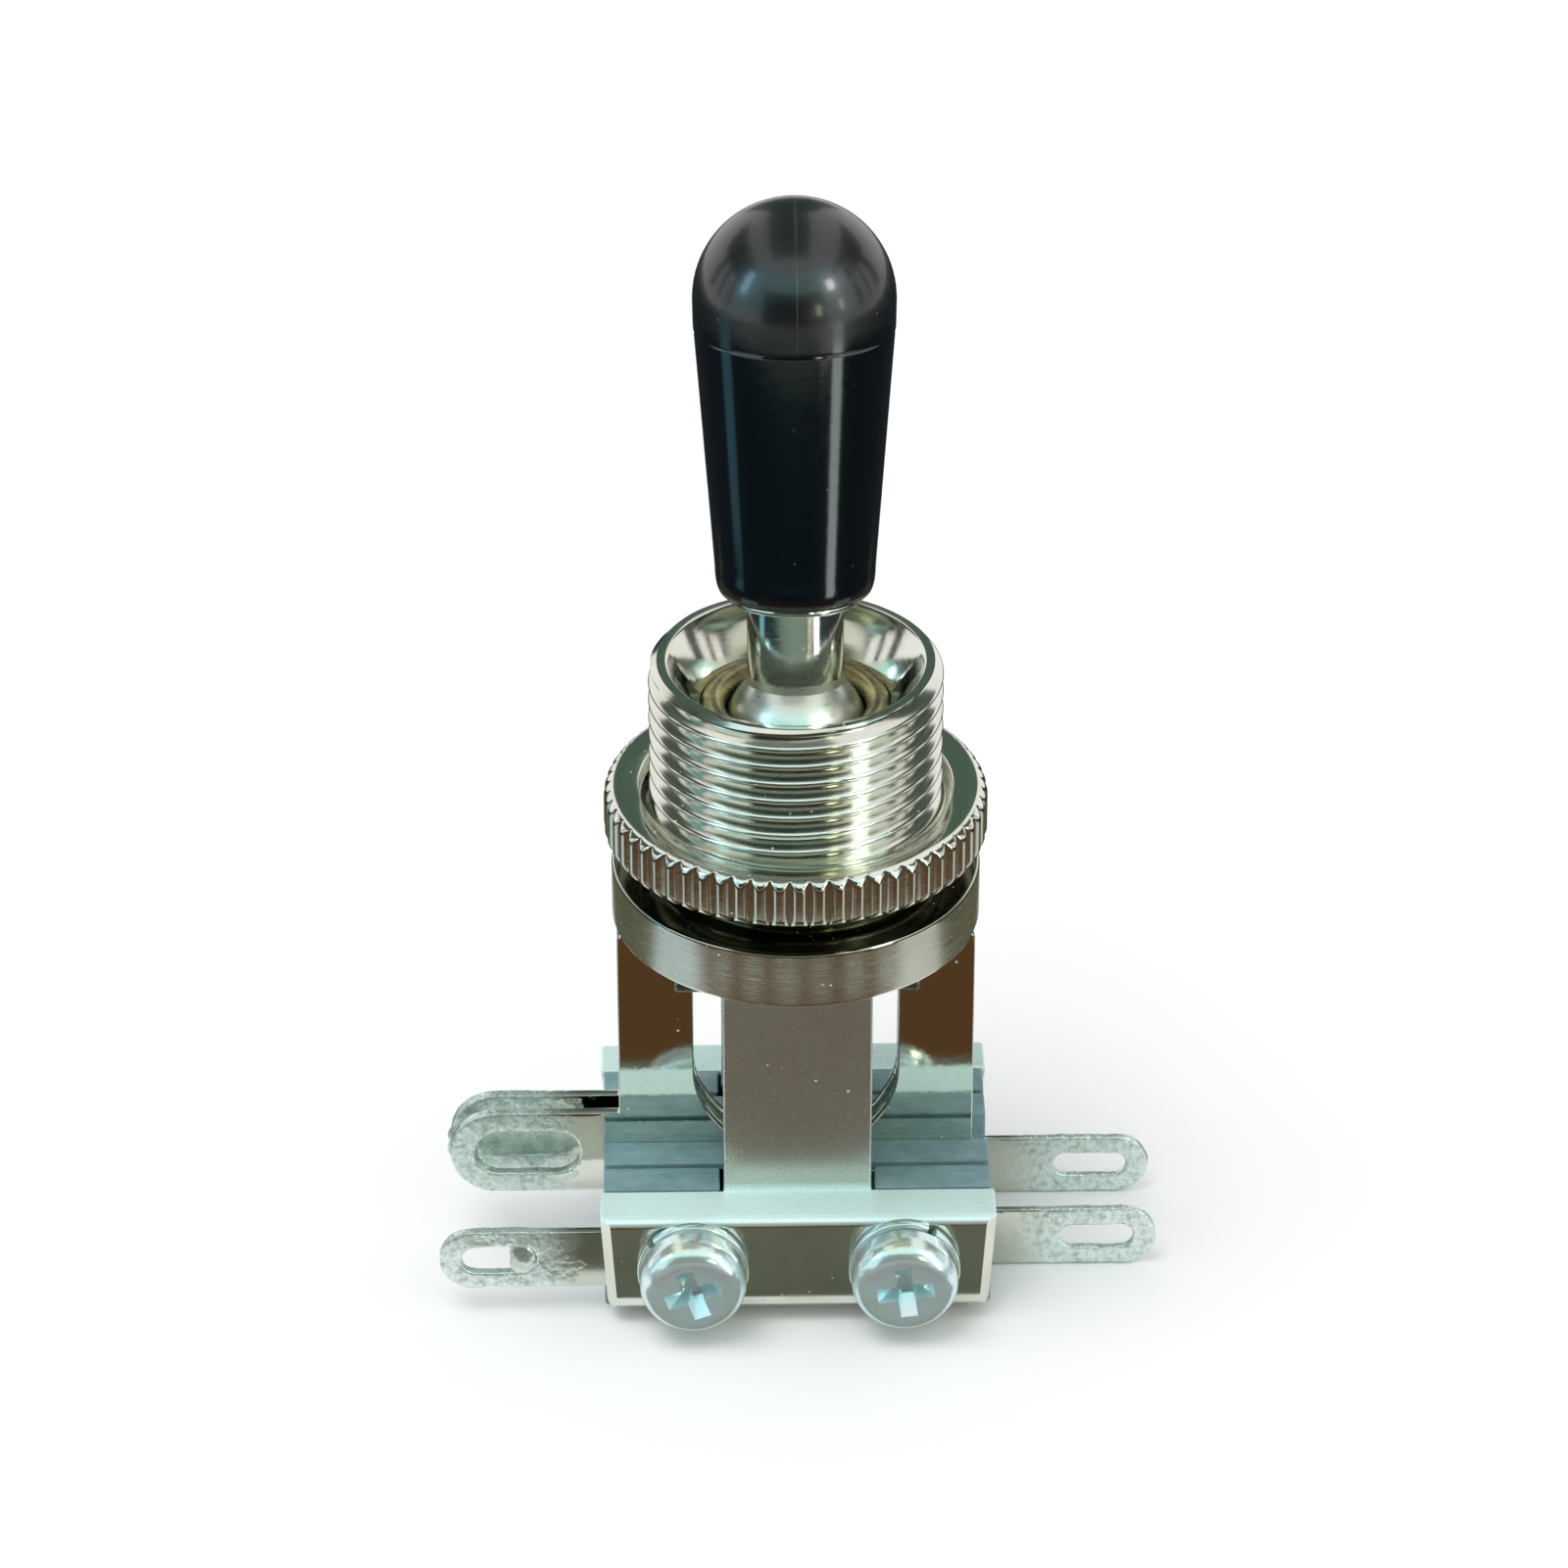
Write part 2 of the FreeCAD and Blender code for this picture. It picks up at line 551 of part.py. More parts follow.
def make_hot_blade(side):
    """Spring blade: clamped sheet with a lug to the right, and a leaf that rises to its contact bar."""
    body = sheet(rectangle(-SHEET_WIDTH / 2, SHEET_WIDTH / 2, SHEET_INSET, BOARD_HEIGHT - SHEET_INSET),
                 BLADE_INNER, BLADE_THICKNESS, side)
    lug, slot = lug_outline(1, SHEET_WIDTH / 2 - ROOT_OVERLAP, LUG_REACH, LUG_BOTTOM, LUG_HEIGHT,
                            LUG_SLOT_LENGTH, LUG_SLOT_HEIGHT, LUG_SLOT_MARGIN)
    body = body.fuse(sheet(lug, BLADE_INNER, BLADE_THICKNESS, side))
    body = body.cut(sheet(slot, BLADE_INNER, BLADE_THICKNESS, side))
    body = drill_stack(body, TUBE_RADIUS + SEAT_FIT)
    tip = blade_tip_y(side)
    half = BLADE_THICKNESS / 2
    foot = side * (BLADE_INNER + half)
    bend = BOARD_HEIGHT + BLADE_STRAIGHT
    neck = BAR_HEIGHT - 2 * BAR_RADIUS
    leaf = bar_x([
        (foot - half, SHEET_INSET + ROOT_OVERLAP, 0),
        (foot - half, bend, 0),
        (tip - half, neck, 0),
        (tip - half, BAR_HEIGHT, 0),
        (tip + half, BAR_HEIGHT, 0),
        (tip + half, neck, 0),
        (foot + half, bend, 0),
        (foot + half, SHEET_INSET + ROOT_OVERLAP, 0),
    ], BLADE_WIDTH)
    return body.fuse(leaf).removeSplitter().cut(make_bar(side))


def make_common_fork(side):
    """U-shaped contact plate whose arms rise on both sides of the lever's tail, with a lug to the left."""
    half = FORK_WIDTH / 2
    plate = sheet([
        (-half, SHEET_INSET, 0),
        (half, SHEET_INSET, 0),
        (half, FORK_TOP, FORK_CORNER_RADIUS),
        (-half, FORK_TOP, FORK_CORNER_RADIUS),
    ], SPACER_THICKNESS / 2, FORK_THICKNESS, side)
    lug, slot = lug_outline(-1, half - ROOT_OVERLAP, COMMON_LUG_REACH, COMMON_LUG_BOTTOM, COMMON_LUG_HEIGHT,
                            COMMON_SLOT_LENGTH, COMMON_SLOT_HEIGHT, COMMON_SLOT_MARGIN)
    plate = plate.fuse(sheet(lug, SPACER_THICKNESS / 2, FORK_THICKNESS, side)).removeSplitter()
    plate = plate.cut(sheet(slot, SPACER_THICKNESS / 2, FORK_THICKNESS, side))
    return drill_stack(cut_fork(plate, side), TUBE_RADIUS + SEAT_FIT)


def cut_fork(plate, side):
    """Cut the U between the arms: a half circle below and straight sides above."""
    y_from, y_to = sorted((0, side * (FORK_FACE + CUT_PAST)))
    round_end = rod_y(0, FORK_CUT_CENTRE, FORK_CUT_RADIUS, y_from, y_to)
    gap = Part.makeBox(2 * FORK_CUT_RADIUS, y_to - y_from, FORK_TOP)
    gap.translate(FreeCAD.Vector(-FORK_CUT_RADIUS, y_from, FORK_CUT_CENTRE))
    return plate.cut(round_end).cut(gap)


def make_spacer():
    """Thick plate between the forks, with the same U and shorter arms."""
    half = FORK_WIDTH / 2
    low = sheet(rectangle(-half, half, 0, SPACER_ARM_HEIGHT), -SPACER_THICKNESS / 2, SPACER_THICKNESS)
    return drill_stack(cut_fork(cut_fork(low, -1), 1), TUBE_RADIUS + SEAT_FIT)


def make_screw(x):
    """Pan head with a cross recess, and a shank that reaches through the rear foot."""
    seat = -FOOT_FACE_Y - WASHER_THICKNESS
    crown = seat - SCREW_HEAD_HEIGHT
    head = rod_y(x, SCREW_HEIGHT, SCREW_HEAD_RADIUS, crown, seat)
    head = head.makeFillet(SCREW_CROWN_RADIUS, [edge_at(head, crown)])
    shank = rod_y(x, SCREW_HEIGHT, SCREW_RADIUS, seat, FOOT_FACE_Y + SCREW_END_PROUD)
    screw = head.fuse(shank).removeSplitter()
    for span_x, span_z in ((RECESS_SPAN, RECESS_WIDTH), (RECESS_WIDTH, RECESS_SPAN)):
        wing = Part.makeBox(span_x, RECESS_DEPTH, span_z)
        wing.translate(FreeCAD.Vector(x - span_x / 2, crown, SCREW_HEIGHT - span_z / 2))
        screw = screw.cut(wing)
    return screw


def edge_at(shape, y):
    """The round edge of a Y cylinder that lies in the plane at y."""
    for edge in shape.Edges:
        box = edge.BoundBox
        if box.YLength < 1e-4 and abs(box.YMin - y) < 1e-4:
            return edge


def make_washer(x):
    """Split spring washer under a screw head."""
    outer = rod_y(x, SCREW_HEIGHT, WASHER_RADIUS, -FOOT_FACE_Y - WASHER_THICKNESS, -FOOT_FACE_Y)
    hole = rod_y(x, SCREW_HEIGHT, SCREW_RADIUS + SCREW_FIT, -FOOT_FACE_Y - WASHER_THICKNESS, -FOOT_FACE_Y)
    split = Part.makeBox(WASHER_RADIUS + CUT_PAST, WASHER_THICKNESS, WASHER_SPLIT)
    split.translate(FreeCAD.Vector(0, -FOOT_FACE_Y - WASHER_THICKNESS, -WASHER_SPLIT / 2))
    split.rotate(FreeCAD.Vector(0, 0, 0), FreeCAD.Vector(0, 1, 0), -WASHER_SPLIT_ANGLE)
    split.translate(FreeCAD.Vector(x, 0, SCREW_HEIGHT))
    return outer.cut(hole).cut(split)


def make_tube(x):
    outer = rod_y(x, SCREW_HEIGHT, TUBE_RADIUS, -MIDDLE_BOARD_FACE, MIDDLE_BOARD_FACE)
    return outer.cut(rod_y(x, SCREW_HEIGHT, TUBE_BORE, -MIDDLE_BOARD_FACE, MIDDLE_BOARD_FACE))


def make_outer_board(side):
    """Thin board under the ledge, between the middle board and the ground sheet or foot."""
    top = LEDGE_UNDERSIDE - LEG_NOTCH_CLEARANCE
    outer_face = GROUND_SHEET_INNER if side < 0 else FOOT_INNER
    corners = rectangle(-BOARD_WIDTH / 2, BOARD_WIDTH / 2, 0, top)
    board = sheet(corners, MIDDLE_BOARD_FACE, outer_face - MIDDLE_BOARD_FACE, side)
    return drill_stack(board, SCREW_RADIUS + SCREW_FIT)


def make_solder_bridge():
    """Solder between the two common lugs, at their outer end."""
    middle = COMMON_LUG_BOTTOM + COMMON_LUG_HEIGHT / 2
    x = -COMMON_LUG_REACH + COMMON_SLOT_MARGIN / 2
    return rod_y(x, middle, SOLDER_BRIDGE_RADIUS, -SPACER_THICKNESS / 2, SPACER_THICKNESS / 2)


def make_solder_plug():
    """Solder that fills the inner end of the ground lug's slot."""
    middle = GROUND_LUG_BOTTOM + LUG_HEIGHT / 2
    low = -GROUND_LUG_REACH + LUG_SLOT_MARGIN + LUG_SLOT_LENGTH - SOLDER_PLUG_LENGTH
    slot = lug_outline(-1, SHEET_WIDTH / 2 - ROOT_OVERLAP, GROUND_LUG_REACH, GROUND_LUG_BOTTOM, LUG_HEIGHT,
                       LUG_SLOT_LENGTH, GROUND_SLOT_HEIGHT, LUG_SLOT_MARGIN)[1]
    filled = sheet(slot, GROUND_SHEET_INNER, GROUND_SHEET_THICKNESS, -1)
    window = sheet(rectangle(low, 0, middle - LUG_HEIGHT, middle + LUG_HEIGHT), GROUND_SHEET_INNER,
                   GROUND_SHEET_THICKNESS, -1)
    return filled.common(window)


def build():
    """Every piece under its node name."""
    parts = {
        "bushing": make_bushing(),
        "dress_nut": make_nut(),
        "frame": make_frame(),
        "lever_shaft": make_lever_shaft(),
        "lever_tip": make_lever_tip(),
        "tip_ferrule": make_ferrule(),
        "pivot_pin": make_pin(),
        "seal_ring": make_ring(),
        "actuator_sleeve": make_sleeve(),
        "ground_lug": make_ground_lug(),
        "centre_spacer": make_spacer(),
        "solder_bridge": make_solder_bridge(),
        "solder_ground": make_solder_plug(),
    }
    for name, side in SIDES.items():
        parts["inner_board_" + name] = make_board(FORK_FACE, BLADE_INNER, BOARD_HEIGHT, side)
        parts["middle_board_" + name] = make_board(BLADE_OUTER, MIDDLE_BOARD_FACE, BOARD_HEIGHT, side)
        parts["outer_board_" + name] = make_outer_board(side)
        parts["common_fork_" + name] = make_common_fork(side)
        parts["hot_blade_" + name] = make_hot_blade(side)
        parts["contact_bar_" + name] = make_bar(side)
    for name, x in SCREW_PLACES.items():
        parts["screw_" + name] = make_screw(x)
        parts["lock_washer_" + name] = make_washer(x)
        parts["insulating_tube_" + name] = make_tube(x)
    return parts


os.makedirs("parts", exist_ok=True)
for node, shape in build().items():
    if not shape.isValid() or len(shape.Solids) != 1:
        print("check", node, shape.isValid(), len(shape.Solids))
    shape.Solids[0].exportStep("parts/" + node + ".step")
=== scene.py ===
"""Looks of a three-way toggle switch: every visible piece with its finish, the stage and the camera.

Sizes are in millimetres while a piece is shaped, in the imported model's frame: Z is up along the bushing
and -Y is the front. Each piece is scaled to metres as it enters the scene.
"""

import enum
import json
import logging
import math
from dataclasses import dataclass
from typing import Callable, Sequence, Union

import bmesh
import bpy
from mathutils import Matrix, Vector, noise


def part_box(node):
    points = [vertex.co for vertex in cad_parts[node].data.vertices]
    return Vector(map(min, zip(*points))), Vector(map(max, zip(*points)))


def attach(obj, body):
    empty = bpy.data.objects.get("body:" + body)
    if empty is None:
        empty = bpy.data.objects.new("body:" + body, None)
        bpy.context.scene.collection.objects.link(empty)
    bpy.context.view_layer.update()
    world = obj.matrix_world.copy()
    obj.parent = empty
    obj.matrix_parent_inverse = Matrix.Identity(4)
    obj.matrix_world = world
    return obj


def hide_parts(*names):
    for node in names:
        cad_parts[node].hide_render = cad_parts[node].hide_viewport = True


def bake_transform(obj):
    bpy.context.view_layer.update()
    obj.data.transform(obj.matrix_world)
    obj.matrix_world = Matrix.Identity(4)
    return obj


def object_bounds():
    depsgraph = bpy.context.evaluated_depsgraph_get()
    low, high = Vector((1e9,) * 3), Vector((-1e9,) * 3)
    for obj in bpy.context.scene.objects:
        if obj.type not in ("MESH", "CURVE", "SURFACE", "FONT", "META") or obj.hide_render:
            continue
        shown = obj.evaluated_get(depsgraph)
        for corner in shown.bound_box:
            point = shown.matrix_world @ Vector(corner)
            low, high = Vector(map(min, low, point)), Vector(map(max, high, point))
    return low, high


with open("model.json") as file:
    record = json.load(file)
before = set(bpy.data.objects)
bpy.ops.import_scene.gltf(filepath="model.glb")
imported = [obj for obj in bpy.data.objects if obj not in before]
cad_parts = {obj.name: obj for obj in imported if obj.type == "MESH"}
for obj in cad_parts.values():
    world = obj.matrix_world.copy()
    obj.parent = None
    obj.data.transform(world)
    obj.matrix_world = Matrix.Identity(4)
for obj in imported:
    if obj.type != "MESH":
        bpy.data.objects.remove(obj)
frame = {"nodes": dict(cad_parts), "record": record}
CAD_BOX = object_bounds()

MM = 0.001
WELD = 1e-4
EASE = 0.3
SMOOTH_BELOW = math.radians(35)

Mesh = bmesh.types.BMesh
Vertex = bmesh.types.BMVert
Piece = bpy.types.Object
Socket = bpy.types.NodeSocket
Pair = tuple[float, float]
Triple = tuple[float, float, float]
Colour = tuple[float, float, float, float]
Radius = Union[float, Callable[[float, float], float]]
Ring = tuple[Radius, float]
log = logging.getLogger("switch")


class Body(enum.Enum):
    """The two bodies that the pieces ride on."""

    SWITCH = "switch_body"
    LEVER = "lever"


class Side(enum.Enum):
    """Front and rear half of the blade stack, with the sign of Y there."""

    FRONT = -1
    REAR = 1

    @property
    def word(self) -> str:
        """The side's name as the nodes spell it."""
        return self.name.lower()


class Hand(enum.Enum):
    """Left and right screw, with the sign of X there."""

    LEFT = -1
    RIGHT = 1

    @property
    def word(self) -> str:
        """The hand's name as the nodes spell it."""
        return self.name.lower()


def box_mm(node: str) -> tuple[Vector, Vector]:
    """Lowest and highest corner of a node in millimetres."""
    low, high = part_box(node)
    return low / MM, high / MM


def middle_mm(node: str) -> Vector:
    """Middle of a node's box in millimetres."""
    return sum(box_mm(node), Vector()) / 2


def node_mesh(node: str) -> Mesh:
    """Editable copy of a node's mesh, in millimetres and with its flat faces whole.

    Args:
        node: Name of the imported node.

    Returns:
        The welded copy.
    """
    bm = bmesh.new()
    bm.from_mesh(frame["nodes"][node].data)
    bmesh.ops.scale(bm, vec=(1 / MM,) * 3, verts=bm.verts)
    bmesh.ops.remove_doubles(bm, verts=bm.verts, dist=WELD)
    bmesh.ops.dissolve_limit(bm, angle_limit=math.radians(0.5), verts=bm.verts, edges=bm.edges)
    return bm


def modified(bm: Mesh, add_modifiers: Callable[[Piece], None]) -> Mesh:
    """Run modifiers on a mesh and give the result.

    Args:
        bm: The mesh, which is used up.
        add_modifiers: Function that adds the modifiers to a passing object.

    Returns:
        The modified mesh.
    """
    data = bpy.data.meshes.new("passing")
    bm.to_mesh(data)
    bm.free()
    carrier = bpy.data.objects.new("passing", data)
    bpy.context.scene.collection.objects.link(carrier)
    add_modifiers(carrier)
    bpy.context.view_layer.update()
    evaluated = carrier.evaluated_get(bpy.context.evaluated_depsgraph_get())
    shaped = bpy.data.meshes.new_from_object(evaluated)
    result = bmesh.new()
    result.from_mesh(shaped)
    bpy.data.objects.remove(carrier)
    bpy.data.meshes.remove(data)
    bpy.data.meshes.remove(shaped)
    return result


def bevelled(bm: Mesh, width: float, segments: int = 2, profile: float = 0.5,
             weigh: Callable[[bmesh.types.BMEdge], float] = lambda edge: 1.0) -> Mesh:
    """Round the sharp edges of a mesh.

    Args:
        bm: The mesh, which is used up.
        width: Bevel width where the weight is 1.
        segments: Faces across each rounded edge.
        profile: Form of the edge, 0.5 for round and 0.25 for flat.
        weigh: Gives each sharp edge its share of the width.

    Returns:
        The rounded mesh.
    """
    layer = bm.edges.layers.float.new("bevel_weight_edge")
    for edge in bm.edges:
        sharp = len(edge.link_faces) == 2 and edge.calc_face_angle(0.0) > SMOOTH_BELOW
        edge[layer] = weigh(edge) if sharp else 0.0

    def add(carrier: Piece) -> None:
        """Add the bevel.

        Args:
            carrier: The passing object.
        """
        bevel = carrier.modifiers.new("bevel", "BEVEL")
        bevel.limit_method = "WEIGHT"
        bevel.width = width
        bevel.segments = segments
        bevel.profile = profile
        bevel.use_clamp_overlap = False

    return modified(bm, add)


def cut_away(bm: Mesh, cutters: Sequence[Mesh]) -> Mesh:
    """Subtract closed meshes from a closed mesh.

    Args:
        bm: The mesh that is cut, which is used up.
        cutters: The closed meshes to take away, used up too.

    Returns:
        What is left.
    """
    tools = []
    for cutter in cutters:
        bmesh.ops.recalc_face_normals(cutter, faces=cutter.faces)
        data = bpy.data.meshes.new("cutter")
        cutter.to_mesh(data)
        cutter.free()
        tool = bpy.data.objects.new("cutter", data)
        bpy.context.scene.collection.objects.link(tool)
        tools.append(tool)
    bmesh.ops.recalc_face_normals(bm, faces=bm.faces)

    def add(carrier: Piece) -> None:
        """Add one difference for each cutter.

        Args:
            carrier: The passing object.
        """
        for tool in tools:
            boolean = carrier.modifiers.new("cut", "BOOLEAN")
            boolean.operation = "DIFFERENCE"
            boolean.solver = "EXACT"
            boolean.object = tool

    result = modified(bm, add)
    for tool in tools:
        bpy.data.objects.remove(tool)
    return result


def rounded(corners: Sequence[Triple], steps: int = 5) -> list[Pair]:
    """Points of a closed outline whose corners are rounded.

    Args:
        corners: Corner points, each with its own radius.
        steps: Stretches along each rounded corner.

    Returns:
        The outline's points in order.
    """
    points: list[Pair] = []
    for index, (a, b, radius) in enumerate(corners):
        here = Vector((a, b))
        if radius == 0:
            points.append((a, b))
            continue
        back = (Vector(corners[index - 1][:2]) - here).normalized()
        ahead = (Vector(corners[(index + 1) % len(corners)][:2]) - here).normalized()
        half = back.angle(ahead) / 2
        centre = here + (back + ahead).normalized() * (radius / math.sin(half))
        start = here + back * (radius / math.tan(half)) - centre
        end = here + ahead * (radius / math.tan(half)) - centre
        turn = start.angle_signed(end)
        for step in range(steps + 1):
            spoke = Matrix.Rotation(-turn * step / steps, 2) @ start
            points.append((centre.x + spoke.x, centre.y + spoke.y))
    return points


def angles(steps: int, sweep: float = math.pi / 2) -> list[float]:
    """Angles from 0 to the end of a sweep, in even steps."""
    return [sweep * step / steps for step in range(steps + 1)]


def fill_band(bm: Mesh, first: Sequence[Vertex], second: Sequence[Vertex]) -> None:
    """Fill the band between two closed loops that have as many points.

    Args:
        bm: The mesh.
        first: Points of one loop.
        second: Points of the other.
    """
    for index in range(len(first)):
        following = (index + 1) % len(first)
        corners = tuple(dict.fromkeys((first[index], first[following], second[following], second[index])))
        if len(corners) > 2:
            bm.faces.new(corners)


def lathe(rings: Sequence[Ring], columns: int, closed: bool = True,
          bm: Union[Mesh, None] = None) -> Mesh:
    """Turn an outline about Z.

    Args:
        rings: Radius and height of each ring; a radius may be a function of angle and height.
        columns: Faces around the axis.
        closed: Whether the last ring joins the first one.
        bm: Mesh to add the faces to.

    Returns:
        The mesh with the turned faces.
    """
    bm = bm or bmesh.new()
    loops = []
    for radius, height in rings:
        if radius == 0:
            loops.append([bm.verts.new((0, 0, height))] * columns)
            continue
        loop = []
        for column in range(columns):
            angle = 2 * math.pi * column / columns
            reach = radius(angle, height) if callable(radius) else radius
            loop.append(bm.verts.new((reach * math.cos(angle), reach * math.sin(angle), height)))
        loops.append(loop)
    pairs = list(zip(loops, loops[1:]))
    if closed:
        pairs.append((loops[-1], loops[0]))
    for low, high in pairs:
        fill_band(bm, low, high)
    return bm


def disc_side(radius: float, low: float, high: float, edge: float) -> list[Ring]:
    """Outer side of a disc from its lower face to its upper one, with eased corners.

    Args:
        radius: Radius of the disc.
        low: Height of its lower face.
        high: Height of its upper face.
        edge: Size of the eased corners.

    Returns:
        The rings in order.
    """
    ease = edge * EASE
    return [(radius - edge, low), (radius - ease, low + ease), (radius, low + edge),
            (radius, high - edge), (radius - ease, high - ease), (radius - edge, high)]


def rod(half: float, radius: float, edge: float, columns: int) -> Mesh:
    """Round rod along Z about its own middle, with chamfered ends.

    Args:
        half: Half of its length.
        radius: Its radius.
        edge: Size of the chamfers.
        columns: Faces around it.

    Returns:
        The closed rod.
    """
    rings: list[Ring] = [(0, -half), (radius - edge, -half), (radius, -half + edge), (radius, half - edge),
                         (radius - edge, half), (0, half)]
    return lathe(rings, columns, closed=False)


def prism(points: Sequence[Pair], low: float, high: float,
          place: Callable[[float, float, float], Triple]) -> Mesh:
    """Extrude a closed outline.

    Args:
        points: The outline.
        low: Where the first face lies along the extrusion.
        high: Where the second face lies.
        place: Puts outline point and depth into space.

    Returns:
        The closed prism.
    """
    bm = bmesh.new()
    loops = [[bm.verts.new(place(a, b, depth)) for a, b in points] for depth in (low, high)]
    for loop in loops:
        bm.faces.new(loop)
    fill_band(bm, loops[0], loops[1])
    bmesh.ops.recalc_face_normals(bm, faces=bm.faces)
    return bm


def slice_between(bm: Mesh, axis: int, low: float, high: float, step: float,
                  inside: Callable[[Vector], bool]) -> None:
    """Cut the faces of a region into strips, so that they can be shaped.

    Args:
        bm: The mesh.
        axis: Axis that the cuts are square to.
        low: Place of the first cut.
        high: Place of the last one.
        step: Distance between cuts.
        inside: Tells whether a face with this middle is cut.
    """
    square = Vector((0, 0, 0))
    square[axis] = 1
    for index in range(int((high - low) / step) + 1):
        faces = [face for face in bm.faces if inside(face.calc_center_median())]
        edges = list({edge for face in faces for edge in face.edges})
        verts = list({vert for face in faces for vert in face.verts})
        bmesh.ops.bisect_plane(bm, geom=verts + edges + faces, dist=WELD / 10, plane_no=square,
                               plane_co=square * (low + index * step))


def roughen(bm: Mesh, amount: float, grain: float, seed: float,
            share: Callable[[Vector], float], lift: float = 0.5) -> None:
    """Move a surface in and out with soft lumps.

    Args:
        bm: The mesh.
        amount: Height of the lumps.
        grain: Size of a lump.
        seed: Shift of the noise, so that pieces differ.
        share: Share of the amount at a point.
        lift: Part of the amount that every point is raised by.
    """
    bm.normal_update()
    moves = []
    for vert in bm.verts:
        weight = share(vert.co)
        if weight > 0:
            height = noise.fractal(vert.co / grain + Vector((seed, 0, 0)), 1.0, 2.0, 3) + lift
            moves.append((vert, vert.normal * (height * amount * weight)))
    for vert, move in moves:
        vert.co += move


def new_piece(name: str, bm: Mesh, body: Union[Body, None], node: str,
              place: Matrix = Matrix.Identity(4)) -> Piece:
    """Put a shaped piece into the scene, where it stands for its node.

    Args:
        name: Name of the piece.
        bm: Its mesh in millimetres, which is used up.
        body: Body that it rides on, or None for a piece that rides on neither.
        node: The node that it replaces.
        place: Where its own axes lie, in millimetres.

    Returns:
        The piece.
    """
    bmesh.ops.remove_doubles(bm, verts=bm.verts, dist=WELD)
    bmesh.ops.dissolve_degenerate(bm, edges=bm.edges, dist=WELD / 2)
    bmesh.ops.recalc_face_normals(bm, faces=bm.faces)
    bmesh.ops.scale(bm, vec=(MM,) * 3, verts=bm.verts)
    data = bpy.data.meshes.new(name)
    bm.to_mesh(data)
    bm.free()
    data.shade_smooth()
    data.set_sharp_from_angle(angle=SMOOTH_BELOW)
    piece = bpy.data.objects.new(name, data)
    bpy.context.scene.collection.objects.link(piece)
    shading = piece.modifiers.new("flat_faces_flat", "WEIGHTED_NORMAL")
    shading.keep_sharp = True
    shading.weight = 60
    place = place.copy()
    place.translation *= MM
    piece.matrix_world = place
    if body is not None:
        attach(piece, body.value)
    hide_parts(node)
    log.info("%s: %d faces in place of %s", name, len(data.polygons), node)
    return piece


@dataclass(frozen=True)
class Thread:
    """A right-hand V thread about Z, cut as one helical strip."""

    crest: float
    depth: float
    pitch: float
    low: float
    high: float
    columns: int
    chamfer: float = 0.35
    run_out: float = 0.5
    form: tuple[Pair, ...] = (
        (-0.17, 0.77), (-0.12, 0.89), (-0.065, 0.97), (0.0, 1.0), (0.065, 0.97), (0.12, 0.89), (0.17, 0.77),
        (0.41, 0.07), (0.46, 0.0), (0.54, 0.0), (0.59, 0.07))

    def level(self, phase: float) -> float:
        """Height of the thread's form at a part of a turn.

        Args:
            phase: The part of a turn.

        Returns:
            Share of the thread's depth there.
        """
        phase = (phase - self.form[0][0]) % 1.0 + self.form[0][0]
        points = self.form + ((1 + self.form[0][0], self.form[0][1]),)
        for (start, first), (end, second) in zip(points, points[1:]):
            if phase <= end + 1e-9:
                return first + (second - first) * (phase - start) / (end - start)
        return points[-1][1]

    def radius(self, angle: float, height: float) -> float:
        """Radius of the threaded surface.

        Args:
            angle: Angle about the axis.
            height: Place along the axis.

        Returns:
            The radius there, with the run-out below and the chamfer above.
        """
        level = self.level((height - self.low) / self.pitch - angle / (2 * math.pi))
        fade = min(1.0, max(0.0, (height - self.low) / self.run_out))
        limit = self.crest - self.chamfer + max(0.0, self.high - height)
        return min(self.crest - self.depth + self.depth * level * fade, limit)

    def add_to(self, bm: Mesh) -> None:
        """Add the strip to a mesh, whose end rings weld to rings at the same heights.

        Args:
            bm: The mesh.
        """
        turns = int((self.high - self.low) / self.pitch) + 3
        rows = [turn - 1 + phase for turn in range(turns) for phase, _ in self.form]
        per_turn = len(self.form)
        grid = []
        for column in range(self.columns):
            angle = 2 * math.pi * column / self.columns
            loop = []
            for row in rows:
                height = self.low + self.pitch * (row + column / self.columns)
                height = min(self.high, max(self.low, height))
                reach = self.radius(angle, height)
                loop.append(bm.verts.new((reach * math.cos(angle), reach * math.sin(angle), height)))
            grid.append(loop)
        for column in range(self.columns):
            shift = per_turn if column == self.columns - 1 else 0
            following = grid[(column + 1) % self.columns]
            for row in range(len(rows) - 1 - shift):
                low_near, high_near = grid[column][row], grid[column][row + 1]
                low_far, high_far = following[row + shift], following[row + shift + 1]
                if low_near.co.z < high_near.co.z - WELD or low_far.co.z < high_far.co.z - WELD:
                    bm.faces.new((low_near, low_far, high_far, high_near))


